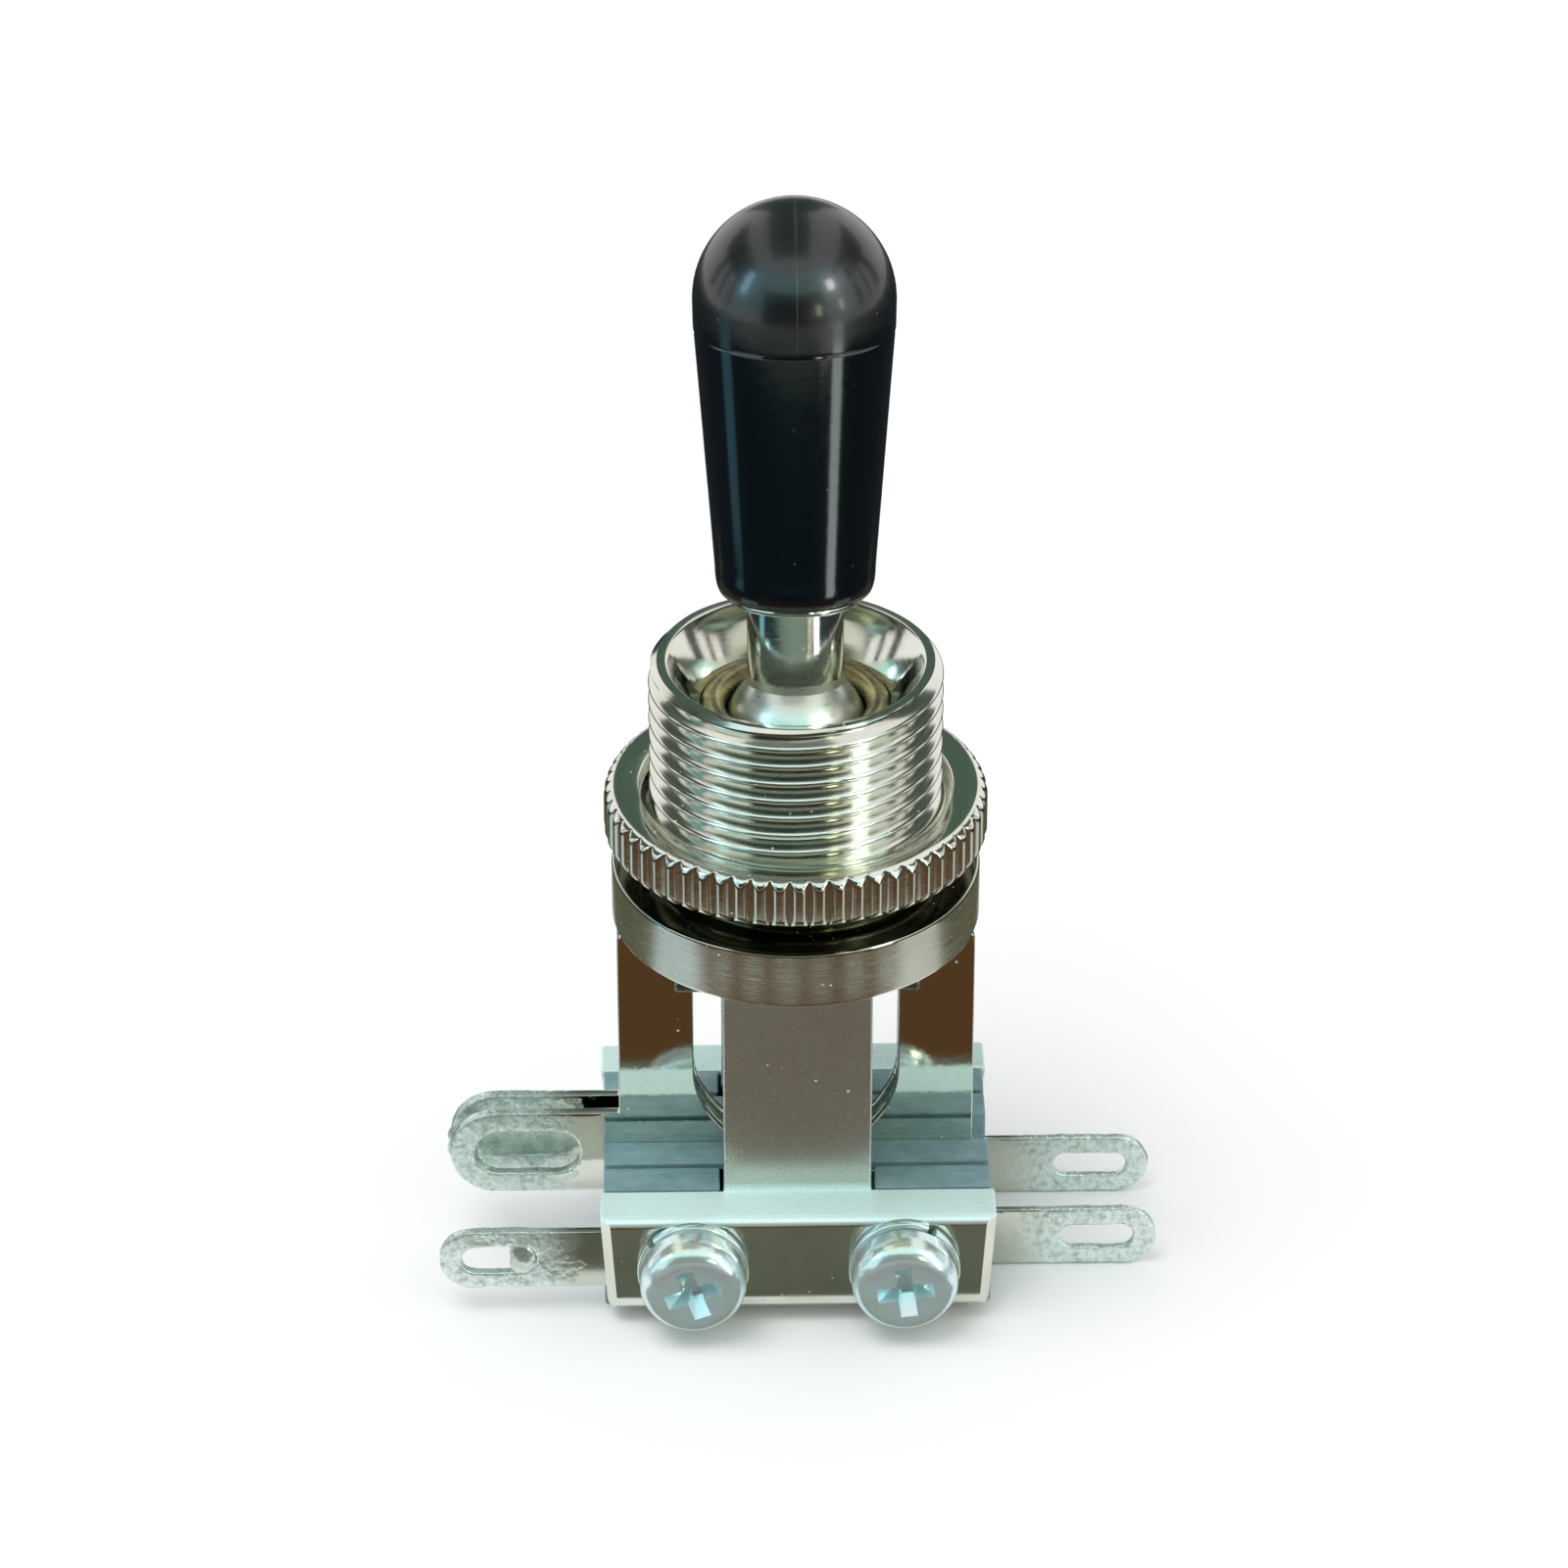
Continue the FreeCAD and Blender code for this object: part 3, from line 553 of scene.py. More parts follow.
class NodeSheet:
    """The node tree of one material, with short calls to add and join nodes."""

    def __init__(self, name: str) -> None:
        """Start a material with an empty principled shader.

        Args:
            name: Name of the material.
        """
        self.material = bpy.data.materials.new(name)
        self.material.use_nodes = True
        self.tree = self.material.node_tree
        self.tree.nodes.clear()
        output = self.tree.nodes.new("ShaderNodeOutputMaterial")
        self.shader = self.tree.nodes.new("ShaderNodeBsdfPrincipled")
        self.tree.links.new(self.shader.outputs[0], output.inputs["Surface"])
        coordinates = self.tree.nodes.new("ShaderNodeTexCoord")
        self.spot = self.vector_maths("SCALE", coordinates.outputs["Object"], scale=1 / MM)

    def join(self, value: object, socket: Socket) -> None:
        """Link an output to a socket, or set the socket to a plain value.

        Args:
            value: The output, the plain value or None, which leaves the socket as it is.
            socket: The socket.
        """
        if isinstance(value, Socket):
            self.tree.links.new(value, socket)
        elif value is not None:
            socket.default_value = value

    def set(self, **values: object) -> None:
        """Set or link inputs of the shader.

        Args:
            **values: Values by the inputs' names, with underscores for spaces.
        """
        for key, value in values.items():
            self.join(value, self.shader.inputs[key.replace("_", " ")])

    def maths(self, operation: str, first: object, second: object = None) -> Socket:
        """Add a maths node.

        Args:
            operation: What it does.
            first: Its first value.
            second: Its second value, where it has one.

        Returns:
            The result.
        """
        node = self.tree.nodes.new("ShaderNodeMath")
        node.operation = operation
        self.join(first, node.inputs[0])
        self.join(second, node.inputs[1])
        return node.outputs[0]

    def times(self, first: object, second: object) -> Socket:
        """Product of two values."""
        return self.maths("MULTIPLY", first, second)

    def plus(self, first: object, second: object) -> Socket:
        """Sum of two values."""
        return self.maths("ADD", first, second)

    def vector_maths(self, operation: str, first: object, second: object = None,
                     scale: Union[float, None] = None) -> Socket:
        """Add a vector maths node.

        Args:
            operation: What it does.
            first: Its first vector.
            second: Its second vector, where it has one.
            scale: Its factor, where it has one.

        Returns:
            The resulting vector.
        """
        node = self.tree.nodes.new("ShaderNodeVectorMath")
        node.operation = operation
        self.join(first, node.inputs[0])
        self.join(second, node.inputs[1])
        if scale is not None:
            self.join(scale, node.inputs["Scale"])
        return node.outputs["Vector"]

    def axes(self) -> tuple[Socket, ...]:
        """Split the place on the piece.

        Returns:
            Its three parts in millimetres.
        """
        node = self.tree.nodes.new("ShaderNodeSeparateXYZ")
        self.join(self.spot, node.inputs[0])
        return tuple(node.outputs)

    def vector(self, x: object, y: object, z: object) -> Socket:
        """Make a vector of three values.

        Args:
            x: Its first part.
            y: Its second part.
            z: Its third part.

        Returns:
            The vector.
        """
        node = self.tree.nodes.new("ShaderNodeCombineXYZ")
        for socket, value in zip(node.inputs, (x, y, z)):
            self.join(value, socket)
        return node.outputs[0]

    def stretched(self, x: float, y: float, z: float) -> Socket:
        """The place on the piece, scaled along each axis."""
        return self.vector_maths("MULTIPLY", self.spot, (x, y, z))

    def turned(self) -> Socket:
        """Wind the place about the piece's Z, for marks left by a lathe.

        Returns:
            Radius, a little of the angle, and height.
        """
        x, y, z = self.axes()
        radius = self.maths("SQRT", self.plus(self.times(x, x), self.times(y, y)))
        angle = self.maths("ARCTAN2", y, x)
        return self.vector(radius, self.times(angle, 0.3), z)

    def noise(self, vector: object, scale: float, detail: float = 4.0,
              roughness: float = 0.55) -> Socket:
        """Add fractal noise.

        Args:
            vector: Where it is read.
            scale: Lumps per unit of the vector.
            detail: Number of finer layers.
            roughness: Strength of the finer layers.

        Returns:
            The noise, from 0 to 1.
        """
        node = self.tree.nodes.new("ShaderNodeTexNoise")
        self.join(vector, node.inputs["Vector"])
        node.inputs["Scale"].default_value = scale
        node.inputs["Detail"].default_value = detail
        node.inputs["Roughness"].default_value = roughness
        return node.outputs["Fac"]

    def cells(self, vector: object, scale: float) -> Socket:
        """Scatter points through space.

        Args:
            vector: Where they are read.
            scale: Points per unit of the vector.

        Returns:
            Distance to the nearest point.
        """
        node = self.tree.nodes.new("ShaderNodeTexVoronoi")
        self.join(vector, node.inputs["Vector"])
        node.inputs["Scale"].default_value = scale
        return node.outputs["Distance"]

    def remap(self, value: object, low: float, high: float, to_low: float = 0.0,
              to_high: float = 1.0) -> Socket:
        """Move a value from one range to another and hold it inside.

        Args:
            value: The value.
            low: Start of its range.
            high: End of its range.
            to_low: Result at the start.
            to_high: Result at the end.

        Returns:
            The moved value.
        """
        node = self.tree.nodes.new("ShaderNodeMapRange")
        self.join(value, node.inputs["Value"])
        for key, number in zip(("From Min", "From Max", "To Min", "To Max"), (low, high, to_low, to_high)):
            node.inputs[key].default_value = number
        return node.outputs[0]

    def blend(self, factor: object, first: object, second: object) -> Socket:
        """Mix two colours.

        Args:
            factor: Share of the second one.
            first: One colour.
            second: The other colour.

        Returns:
            The mixed colour.
        """
        node = self.tree.nodes.new("ShaderNodeMix")
        node.data_type = "RGBA"
        self.join(factor, node.inputs[0])
        self.join(first, node.inputs[6])
        self.join(second, node.inputs[7])
        return node.outputs[2]

    def bump(self, height: object, depth: float, below: object = None) -> Socket:
        """Make a surface bumpy.

        Args:
            height: The relief, from 0 to 1.
            depth: Its depth in millimetres.
            below: Normal of a bumpy surface under it.

        Returns:
            The normal.
        """
        node = self.tree.nodes.new("ShaderNodeBump")
        node.inputs["Distance"].default_value = depth * MM
        self.join(height, node.inputs["Height"])
        self.join(below, node.inputs["Normal"])
        return node.outputs[0]

    def specks(self, scale: float, size: float) -> Socket:
        """Scatter small specks in patches.

        Args:
            scale: Specks per millimetre.
            size: Size of a speck, as a share of their distance.

        Returns:
            1 inside a speck and 0 outside.
        """
        dots = self.remap(self.cells(self.spot, scale), size * 0.6, size, 1.0, 0.0)
        patches = self.remap(self.noise(self.spot, scale * 0.4, 2.0), 0.52, 0.58)
        return self.times(dots, patches)


def colour(red: float, green: float, blue: float) -> Colour:
    """A linear colour with full alpha."""
    return red, green, blue, 1.0


@dataclass(frozen=True)
class Finish:
    """A finish of the switch's pieces."""

    name: str

    def material(self) -> bpy.types.Material:
        """Make the finish.

        Returns:
            The node material.
        """
        sheet = NodeSheet(self.name)
        self.lay(sheet)
        return sheet.material

    def lay(self, sheet: NodeSheet) -> None:
        """Lay the finish on an empty sheet, as each kind of finish does for itself."""
        raise NotImplementedError


@dataclass(frozen=True)
class TurnedNickel(Finish):
    """Bright nickel plate on lathe-turned brass, with the fine rings of the tool and a band of painted shade
    between two heights.
    """

    tone: Colour = colour(0.78, 0.79, 0.71)
    stain: Colour = colour(0.66, 0.64, 0.53)
    smooth: float = 0.08
    dull: float = 0.22
    ring_depth: float = 0.0012
    rings_per_mm: float = 9.0
    brushed: Pair = (-90.0, -80.0)
    brushed_by: float = 0.2
    # Heights and colour of a band of painted shade, darker than the nickel; the default heights lie below
    # every piece.
    dim: Pair = (-90.0, -80.0)
    painted_shade_tone: Colour = colour(0.20, 0.19, 0.14)
    fade: float = 0.06
    speck: Colour = colour(0.68, 0.67, 0.60)
    speck_rough: float = 0.3

    def between(self, sheet: NodeSheet, height: object, span: Pair) -> Socket:
        """Find the surface that lies between two heights.

        Args:
            sheet: The sheet.
            height: Height on the piece.
            span: The two heights.

        Returns:
            1 between them, fading out just beyond.
        """
        above = sheet.remap(height, span[0] - self.fade, span[0] + self.fade)
        below = sheet.remap(height, span[1] - self.fade, span[1] + self.fade, 1.0, 0.0)
        return sheet.times(above, below)

    def lay(self, sheet: NodeSheet) -> None:
        """Lay the finish on an empty sheet.

        Args:
            sheet: The sheet.
        """
        lathe_marks = sheet.noise(sheet.turned(), self.rings_per_mm, 5.0, 0.7)
        clouds = sheet.noise(sheet.spot, 0.35, 4.0)
        tint = sheet.blend(sheet.remap(clouds, 0.42, 0.75, 0.0, 0.7), self.tone, self.stain)
        specks = sheet.specks(1.8, 0.1)
        height = sheet.axes()[2]
        # Painted shade: the band between the two heights is darkened towards the shade colour.
        tint = sheet.blend(self.between(sheet, height, self.dim), tint, self.painted_shade_tone)
        marked = sheet.times(self.between(sheet, height, self.brushed),
                             sheet.remap(lathe_marks, 0.2, 0.8, self.brushed_by * 0.7, self.brushed_by * 1.3))
        rough = sheet.plus(sheet.remap(lathe_marks, 0.3, 0.8, self.smooth, self.dull), marked)
        sheet.set(
            Base_Color=sheet.blend(specks, tint, self.speck),
            Metallic=sheet.maths("SUBTRACT", 1.0, specks),
            Roughness=sheet.plus(rough, sheet.times(specks, self.speck_rough)),
            Normal=sheet.bump(sheet.noise(sheet.spot, 6.0, 3.0), self.ring_depth * 0.5,
                              sheet.bump(lathe_marks, self.ring_depth)))


@dataclass(frozen=True)
class SheetNickel(Finish):
    """Nickel plate on folded or punched sheet, mirror-bright or with a satin upper part whose lowest strip
    carries a painted highlight.
    """

    tone: Colour = colour(0.77, 0.78, 0.71)
    stain: Colour = colour(0.64, 0.63, 0.54)
    # Pale mint colour of a painted highlight, laid mostly non-metal on the lowest strip of the satin part.
    pale: Colour = colour(0.76, 0.98, 0.95)
    smooth: float = 0.05
    dull: float = 0.13
    satin_above: float = 100.0
    # Upper height of the painted highlight strip.
    painted_highlight_below: float = -1.0
    satin: float = 0.28
    satin_tone: Colour = colour(0.50, 0.51, 0.45)
    pit_depth: float = 0.0008
    speck: Colour = colour(0.70, 0.69, 0.62)
    speck_rough: float = 0.35

    def lay(self, sheet: NodeSheet) -> None:
        """Lay the finish on an empty sheet.

        Args:
            sheet: The sheet.
        """
        height = sheet.axes()[2]
        is_satin = sheet.remap(height, self.satin_above - 0.1, self.satin_above + 0.1)
        # Mask of the painted highlight: the satin part below the highlight's upper height.
        in_painted_highlight = sheet.times(is_satin,
                              sheet.remap(height, self.painted_highlight_below - 0.15, self.painted_highlight_below + 0.15, 1.0, 0.0))
        clouds = sheet.noise(sheet.spot, 0.5, 5.0)
        fine = sheet.noise(sheet.spot, 14.0, 4.0, 0.7)
        rolled = sheet.noise(sheet.stretched(9.0, 9.0, 0.6), 1.0, 4.0, 0.6)
        specks = sheet.specks(1.5, 0.11)
        bright = sheet.remap(sheet.plus(clouds, sheet.times(rolled, 0.4)), 0.5, 1.0,
                             self.smooth, self.dull)
        matt = sheet.remap(fine, 0.3, 0.7, self.satin * 0.8, self.satin * 1.25)
        rough = sheet.plus(sheet.times(bright, sheet.maths("SUBTRACT", 1.0, is_satin)),
                           sheet.times(matt, is_satin))
        tint = sheet.blend(sheet.remap(clouds, 0.4, 0.75, 0.0, 0.6), self.tone, self.stain)
        matt_share = sheet.times(is_satin, sheet.remap(fine, 0.35, 0.65, 0.2, 0.8))
        # The mottled tint, with the painted highlight colour laid over its strip.
        mottled = sheet.blend(in_painted_highlight, sheet.blend(matt_share, tint, self.satin_tone), self.pale)
        # The painted highlight strip is mostly non-metal, so its pale colour shows as painted light; the
        # satin part is a little non-metal.
        soft = sheet.maths("MAXIMUM", sheet.times(in_painted_highlight, 0.8), sheet.times(is_satin, 0.12))
        strength = sheet.remap(sheet.maths("SUBTRACT", is_satin, in_painted_highlight), 0.0, 1.0, 0.12, 0.7)
        grain = sheet.times(fine, strength)
        sheet.set(
            Base_Color=sheet.blend(specks, mottled, self.speck),
            Metallic=sheet.maths("SUBTRACT", 1.0, sheet.maths("MAXIMUM", specks, soft)),
            Roughness=sheet.plus(rough, sheet.times(specks, self.speck_rough)),
            Normal=sheet.bump(grain, self.pit_depth * 3, sheet.bump(rolled, self.pit_depth)))


@dataclass(frozen=True)
class TinnedSheet(Finish):
    """Nickel-plated sheet whose lug was dipped in solder: clean near the stack and mottled beyond."""

    clean: Colour = colour(0.62, 0.63, 0.55)
    clean_rough: float = 0.14
    tin: Colour = colour(0.74, 0.86, 0.81)
    dross: Colour = colour(0.40, 0.44, 0.38)
    dipped_from: float = 8.9
    dipped_by: float = 10.4
    uneven: float = 1.6
    relief: float = 0.04
    speck: Colour = colour(0.70, 0.69, 0.62)
    speck_rough: float = 0.35

    def lay(self, sheet: NodeSheet) -> None:
        """Lay the finish on an empty sheet.

        Args:
            sheet: The sheet.
        """
        x = sheet.axes()[0]
        edge = sheet.times(sheet.noise(sheet.spot, 1.6, 3.0), self.uneven)
        out = sheet.plus(sheet.maths("ABSOLUTE", x), edge)
        dipped = sheet.remap(out, self.dipped_from + self.uneven / 2, self.dipped_by + self.uneven / 2)
        lumps = sheet.noise(sheet.spot, 3.2, 5.0, 0.65)
        crystals = sheet.cells(sheet.spot, 4.5)
        skin = sheet.blend(sheet.remap(lumps, 0.46, 0.72), self.tin, self.dross)
        pile = sheet.plus(lumps, sheet.times(crystals, 0.5))
        rough_tin = sheet.remap(pile, 0.5, 1.1, 0.2, 0.45)
        clean_part = sheet.maths("SUBTRACT", 1.0, dipped)
        rough = sheet.plus(sheet.times(dipped, rough_tin),
                           sheet.times(clean_part, self.clean_rough))
        specks = sheet.times(sheet.specks(1.5, 0.11), clean_part)
        relief = sheet.times(sheet.plus(lumps, sheet.times(crystals, 0.4)),
                             sheet.remap(dipped, 0.0, 1.0, 0.04, 1.0))
        sheet.set(
            Base_Color=sheet.blend(specks, sheet.blend(dipped, self.clean, skin), self.speck),
            Metallic=sheet.maths("SUBTRACT", sheet.remap(dipped, 0.0, 1.0, 1.0, 0.8), specks),
            Roughness=sheet.plus(rough, sheet.times(specks, self.speck_rough)),
            Normal=sheet.bump(relief, self.relief))


@dataclass(frozen=True)
class BluedZinc(Finish):
    """Zinc plate with a thin blue passivation that turns yellowish here and there."""

    blue: Colour = colour(0.72, 0.89, 0.92)
    yellow: Colour = colour(0.72, 0.78, 0.58)
    metallic: float = 0.7
    smooth: float = 0.17
    dull: float = 0.24
    relief: float = 0.012

    def lay(self, sheet: NodeSheet) -> None:
        """Lay the finish on an empty sheet.

        Args:
            sheet: The sheet.
        """
        clouds = sheet.noise(sheet.spot, 0.7, 3.0)
        fine = sheet.noise(sheet.spot, 9.0, 4.0, 0.65)
        sheet.set(
            Base_Color=sheet.blend(sheet.remap(clouds, 0.5, 0.68, 0.0, 0.8), self.blue, self.yellow),
            Metallic=self.metallic,
            Roughness=sheet.remap(fine, 0.3, 0.75, self.smooth, self.dull),
            Normal=sheet.bump(sheet.noise(sheet.spot, 2.2, 2.0), self.relief))


@dataclass(frozen=True)
class FibreBoard(Finish):
    """Laminated fibre board: dark resin, pale fibres and faint layers."""

    resin: Colour = colour(0.12, 0.23, 0.25)
    fibre: Colour = colour(0.31, 0.49, 0.51)
    layers_per_mm: float = 5.0
    smooth: float = 0.35
    dull: float = 0.62
    relief: float = 0.012

    def lay(self, sheet: NodeSheet) -> None:
        """Lay the finish on an empty sheet.

        Args:
            sheet: The sheet.
        """
        clouds = sheet.noise(sheet.spot, 0.8, 5.0, 0.6)
        hairs = sheet.noise(sheet.stretched(3.0, 16.0, 16.0), 1.0, 4.0, 0.7)
        layers = sheet.noise(sheet.stretched(0.25, self.layers_per_mm, 0.25), 1.0, 2.0, 0.5)
        mixed = sheet.plus(sheet.times(clouds, 0.5), sheet.times(hairs, 0.6))
        mixed = sheet.plus(mixed, sheet.times(layers, 0.25))
        sheet.set(
            Base_Color=sheet.blend(sheet.remap(mixed, 0.45, 0.95), self.resin, self.fibre),
            Roughness=sheet.remap(hairs, 0.3, 0.7, self.smooth, self.dull),
            Specular_IOR_Level=0.5,
            Normal=sheet.bump(sheet.plus(hairs, layers), self.relief))


@dataclass(frozen=True)
class MouldedPlastic(Finish):
    """Glossy black moulding with a fine parting line over its dome."""

    tone: Colour = colour(0.0015, 0.003, 0.005)
    dust: Colour = colour(0.12, 0.14, 0.14)
    seam_at: float = 16.9
    smooth: float = 0.1
    dull: float = 0.15
    dome_rough: float = 0.2
    dust_rough: float = 0.4
    refraction: float = 1.6
    coat: float = 0.5
    coat_rough: float = 0.13
    parting_height: float = 0.01
    skin_relief: float = 0.004

    def lay(self, sheet: NodeSheet) -> None:
        """Lay the finish on an empty sheet.

        Args:
            sheet: The sheet.
        """
        x, _, z = sheet.axes()
        line = sheet.remap(sheet.maths("ABSOLUTE", x), 0.02, 0.06, 1.0, 0.0)
        parting = sheet.times(line, sheet.remap(z, self.seam_at, self.seam_at + 0.1))
        skin = sheet.noise(sheet.spot, 2.5, 4.0, 0.6)
        gloss = sheet.remap(skin, 0.3, 0.7, self.smooth, self.dull)
        on_dome = sheet.remap(z, self.seam_at, self.seam_at + 0.8, 0.0, self.dome_rough)
        specks = sheet.specks(1.3, 0.07)
        sheet.set(
            Base_Color=sheet.blend(specks, self.tone, self.dust),
            Roughness=sheet.plus(sheet.plus(gloss, on_dome),
                                 sheet.times(specks, self.dust_rough)),
            IOR=self.refraction,
            Coat_Weight=self.coat,
            Coat_Roughness=self.coat_rough,
            Normal=sheet.bump(parting, self.parting_height, sheet.bump(skin, self.skin_relief)))


@dataclass(frozen=True)
class PlainFinish(Finish):
    """A small part's finish: one colour with clouds, a fine grain and its own gloss."""

    tone: Colour
    shade: Colour
    metallic: float
    smooth: float
    dull: float
    grain: float = 5.0
    depth: float = 0.004

    def lay(self, sheet: NodeSheet) -> None:
        """Lay the finish on an empty sheet.

        Args:
            sheet: The sheet.
        """
        clouds = sheet.noise(sheet.spot, 0.9, 4.0)
        fine = sheet.noise(sheet.spot, self.grain, 4.0, 0.65)
        sheet.set(
            Base_Color=sheet.blend(sheet.remap(clouds, 0.38, 0.66), self.tone, self.shade),
            Metallic=self.metallic,
            Roughness=sheet.remap(fine, 0.3, 0.7, self.smooth, self.dull),
            Normal=sheet.bump(fine, self.depth))


class Finishes:
    """The finishes by the record's slot names, each made once."""

    def __init__(self) -> None:
        """Make every material."""
        recipes = {
            # On the bushing the band of painted shade covers the gap between the flange's top and the nut.
            "nickel": TurnedNickel("bright_turned_nickel", brushed=(16.15, 18.3), brushed_by=0.13,
                                   dim=(18.48, 19.95)),
            "lever_nickel": TurnedNickel("lever_nickel", smooth=0.07, dull=0.2, ring_depth=0.0008,
                                         brushed=(-3.2, 2.6)),
            # The frame's ledge top, between 4.85 and 5.3, gets the painted highlight.
            "nickel_satin": SheetNickel("frame_nickel", satin_above=4.85, painted_highlight_below=5.3),
            "fork_nickel": TinnedSheet("fork_nickel", clean=colour(0.77, 0.78, 0.71), clean_rough=0.05,
                                       dipped_from=9.2, dipped_by=10.6),
            "tinned": TinnedSheet("tinned_lug"),
            "black_plastic": MouldedPlastic("black_moulding"),
            "fibre_board": FibreBoard("fibre_board"),
            "zinc": BluedZinc("blued_zinc"),
            "ring_brass": PlainFinish("ring_brass", colour(0.52, 0.44, 0.20), colour(0.24, 0.22, 0.13),
                                      metallic=0.85, smooth=0.2, dull=0.38),
            "sleeve_nylon": PlainFinish("sleeve_nylon", colour(0.78, 0.75, 0.67), colour(0.70, 0.67, 0.58),
                                        metallic=0.0, smooth=0.35, dull=0.5),
            "contact_silver": PlainFinish("contact_silver", colour(0.36, 0.34, 0.30),
                                          colour(0.20, 0.18, 0.15), metallic=1.0, smooth=0.2, dull=0.4),
            "solder": PlainFinish("solder", colour(0.74, 0.84, 0.79), colour(0.46, 0.51, 0.45),
                                  metallic=0.85, smooth=0.14, dull=0.36, grain=3.0, depth=0.03),
        }
        self.materials = {slot: recipe.material() for slot, recipe in recipes.items()}
        self.slot_of = {part["node"]: part["material_slot"] for part in frame["record"]["subparts"]}

    def dress(self, piece: Piece, node: str) -> None:
        """Give a piece the finish of the node that it stands for.

        Args:
            piece: The piece.
            node: The node.
        """
        slot = self.slot_of[node]
        piece.data.materials.clear()
        piece.data.materials.append(self.materials[slot])

    def dress_node(self, node: str) -> None:
        """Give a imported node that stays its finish, in its own material slots.

        Args:
            node: The node.
        """
        material = self.materials[self.slot_of[node]]
        for place in frame["nodes"][node].material_slots:
            place.material = material


@dataclass
class Bushing:
    """Threaded bushing with its flange, cone mouth and ball socket, and the knurled nut on it."""

    finishes: Finishes
    thread_crest: float = 5.95
    thread_pitch: float = 0.794
    thread_depth: float = 0.49
    thread_columns: int = 160
    flange_radius: float = 7.52
    flange_thickness: float = 2.5
    flange_edge: float = 0.16
    mouth_radius: float = 5.2
    mouth_edge: float = 0.06
    cone_floor_radius: float = 3.9
    cone_depth: float = 1.9
    seat_drop: float = 0.8
    socket_radius: float = 3.03
    pivot_drop: float = 3.4
    ball_seat_radius: float = 2.6
    ball_seat_land: float = 1.0
    bore_radius: float = 2.8
    spigot_radius: float = 3.15
    stake_lip: float = 0.25
    stake_height: float = 0.4
    stake_edge: float = 0.1
    seat_steps: int = 6
    slot_reach: float = 4.62
    slot_half: float = 0.56
    ridges: int = 60
    ridge_depth: float = 0.3
    steps_per_ridge: int = 10
    nut_rim: float = 0.5
    rim_steps: int = 8
    nut_relief: float = 0.4
    relief_edge: float = 0.06
    nut_clearance: float = 0.02

    def build(self) -> None:
        """Make the bushing and its nut."""
        self.finishes.dress(self.make_bushing(), "bushing")
        self.finishes.dress(self.make_nut(), "dress_nut")

    def make_bushing(self) -> Piece:
        """Turn the body, cut its thread and the slot through both walls for the cross pin.

        Returns:
            The bushing.
        """
        low, high = box_mm("bushing")
        rim, spigot_end = high.z, low.z
        flange_base = box_mm("frame")[1].z
        flange_top = flange_base + self.flange_thickness
        pivot = rim - self.pivot_drop
        cone_floor = rim - self.cone_depth
        seat = cone_floor - self.seat_drop
        ball_seat = pivot - math.sqrt(self.socket_radius ** 2 - self.ball_seat_radius ** 2)
        thread = Thread(self.thread_crest, self.thread_depth, self.thread_pitch, flange_top, rim,
                        self.thread_columns)
        lip = self.spigot_radius + self.stake_lip
        outside: list[Ring] = [
            (self.bore_radius, spigot_end),
            (lip - self.stake_edge, spigot_end),
            (lip, spigot_end + self.stake_edge),
            (lip, spigot_end + self.stake_height),
            (self.spigot_radius, spigot_end + self.stake_height),
            (self.spigot_radius, flange_base),
            *disc_side(self.flange_radius, flange_base, flange_top, self.flange_edge),
            (thread.radius, flange_top),
        ]
        inside: list[Ring] = [
            (thread.radius, rim),
            (self.mouth_radius + self.mouth_edge, rim),
            (self.mouth_radius + self.mouth_edge * EASE, rim - self.mouth_edge * EASE),
            (self.mouth_radius - self.mouth_edge * EASE * 2, rim - self.mouth_edge),
            (self.cone_floor_radius, cone_floor),
            (self.cone_floor_radius, seat),
            (self.socket_radius, seat),
            (self.socket_radius, pivot),
        ]
        for drop in angles(self.seat_steps, pivot - ball_seat)[1:]:
            height = pivot - drop
            inside.append((math.sqrt(self.socket_radius ** 2 - (pivot - height) ** 2), height))
        inside += [(self.ball_seat_radius, ball_seat - self.ball_seat_land),
                   (self.bore_radius, ball_seat - self.ball_seat_land)]
        bm = lathe(outside, self.thread_columns, closed=False)
        thread.add_to(bm)
        lathe(inside + outside[:1], self.thread_columns, closed=False, bm=bm)
        bmesh.ops.remove_doubles(bm, verts=bm.verts, dist=WELD)
        reach, floor, above = self.slot_reach, pivot - self.slot_half, rim + self.slot_half
        slot = [(-reach, floor), (reach, floor), (reach, above), (-reach, above)]
        cutter = prism(slot, -self.slot_half, self.slot_half, lambda a, b, depth: (a, depth, b))
        return new_piece("threaded_bushing", cut_away(bm, [cutter]), Body.SWITCH, "bushing")

    def ridge(self, angle: float) -> float:
        """Depth of the knurl's groove at an angle, 0 on a ridge."""
        return self.ridge_depth * (1 - abs(math.cos(angle * self.ridges / 2)))

    def make_nut(self) -> Piece:
        """Round nut with straight knurling and rounded rims.

        Returns:
            The nut.
        """
        low, high = box_mm("dress_nut")
        radius = high.x
        bore = self.thread_crest + self.nut_clearance
        relief = bore + self.nut_relief

        def rim_radius(angle: float, height: float) -> float:
            """Find the knurled radius, held inside the rounded rims.

            Args:
                angle: Angle about the axis.
                height: Place along the axis.

            Returns:
                The radius there.
            """
            into_rim = max(0.0, self.nut_rim - min(height - low.z, high.z - height))
            limit = radius - self.nut_rim + math.sqrt(self.nut_rim ** 2 - into_rim ** 2)
            return min(radius - self.ridge(angle), limit)

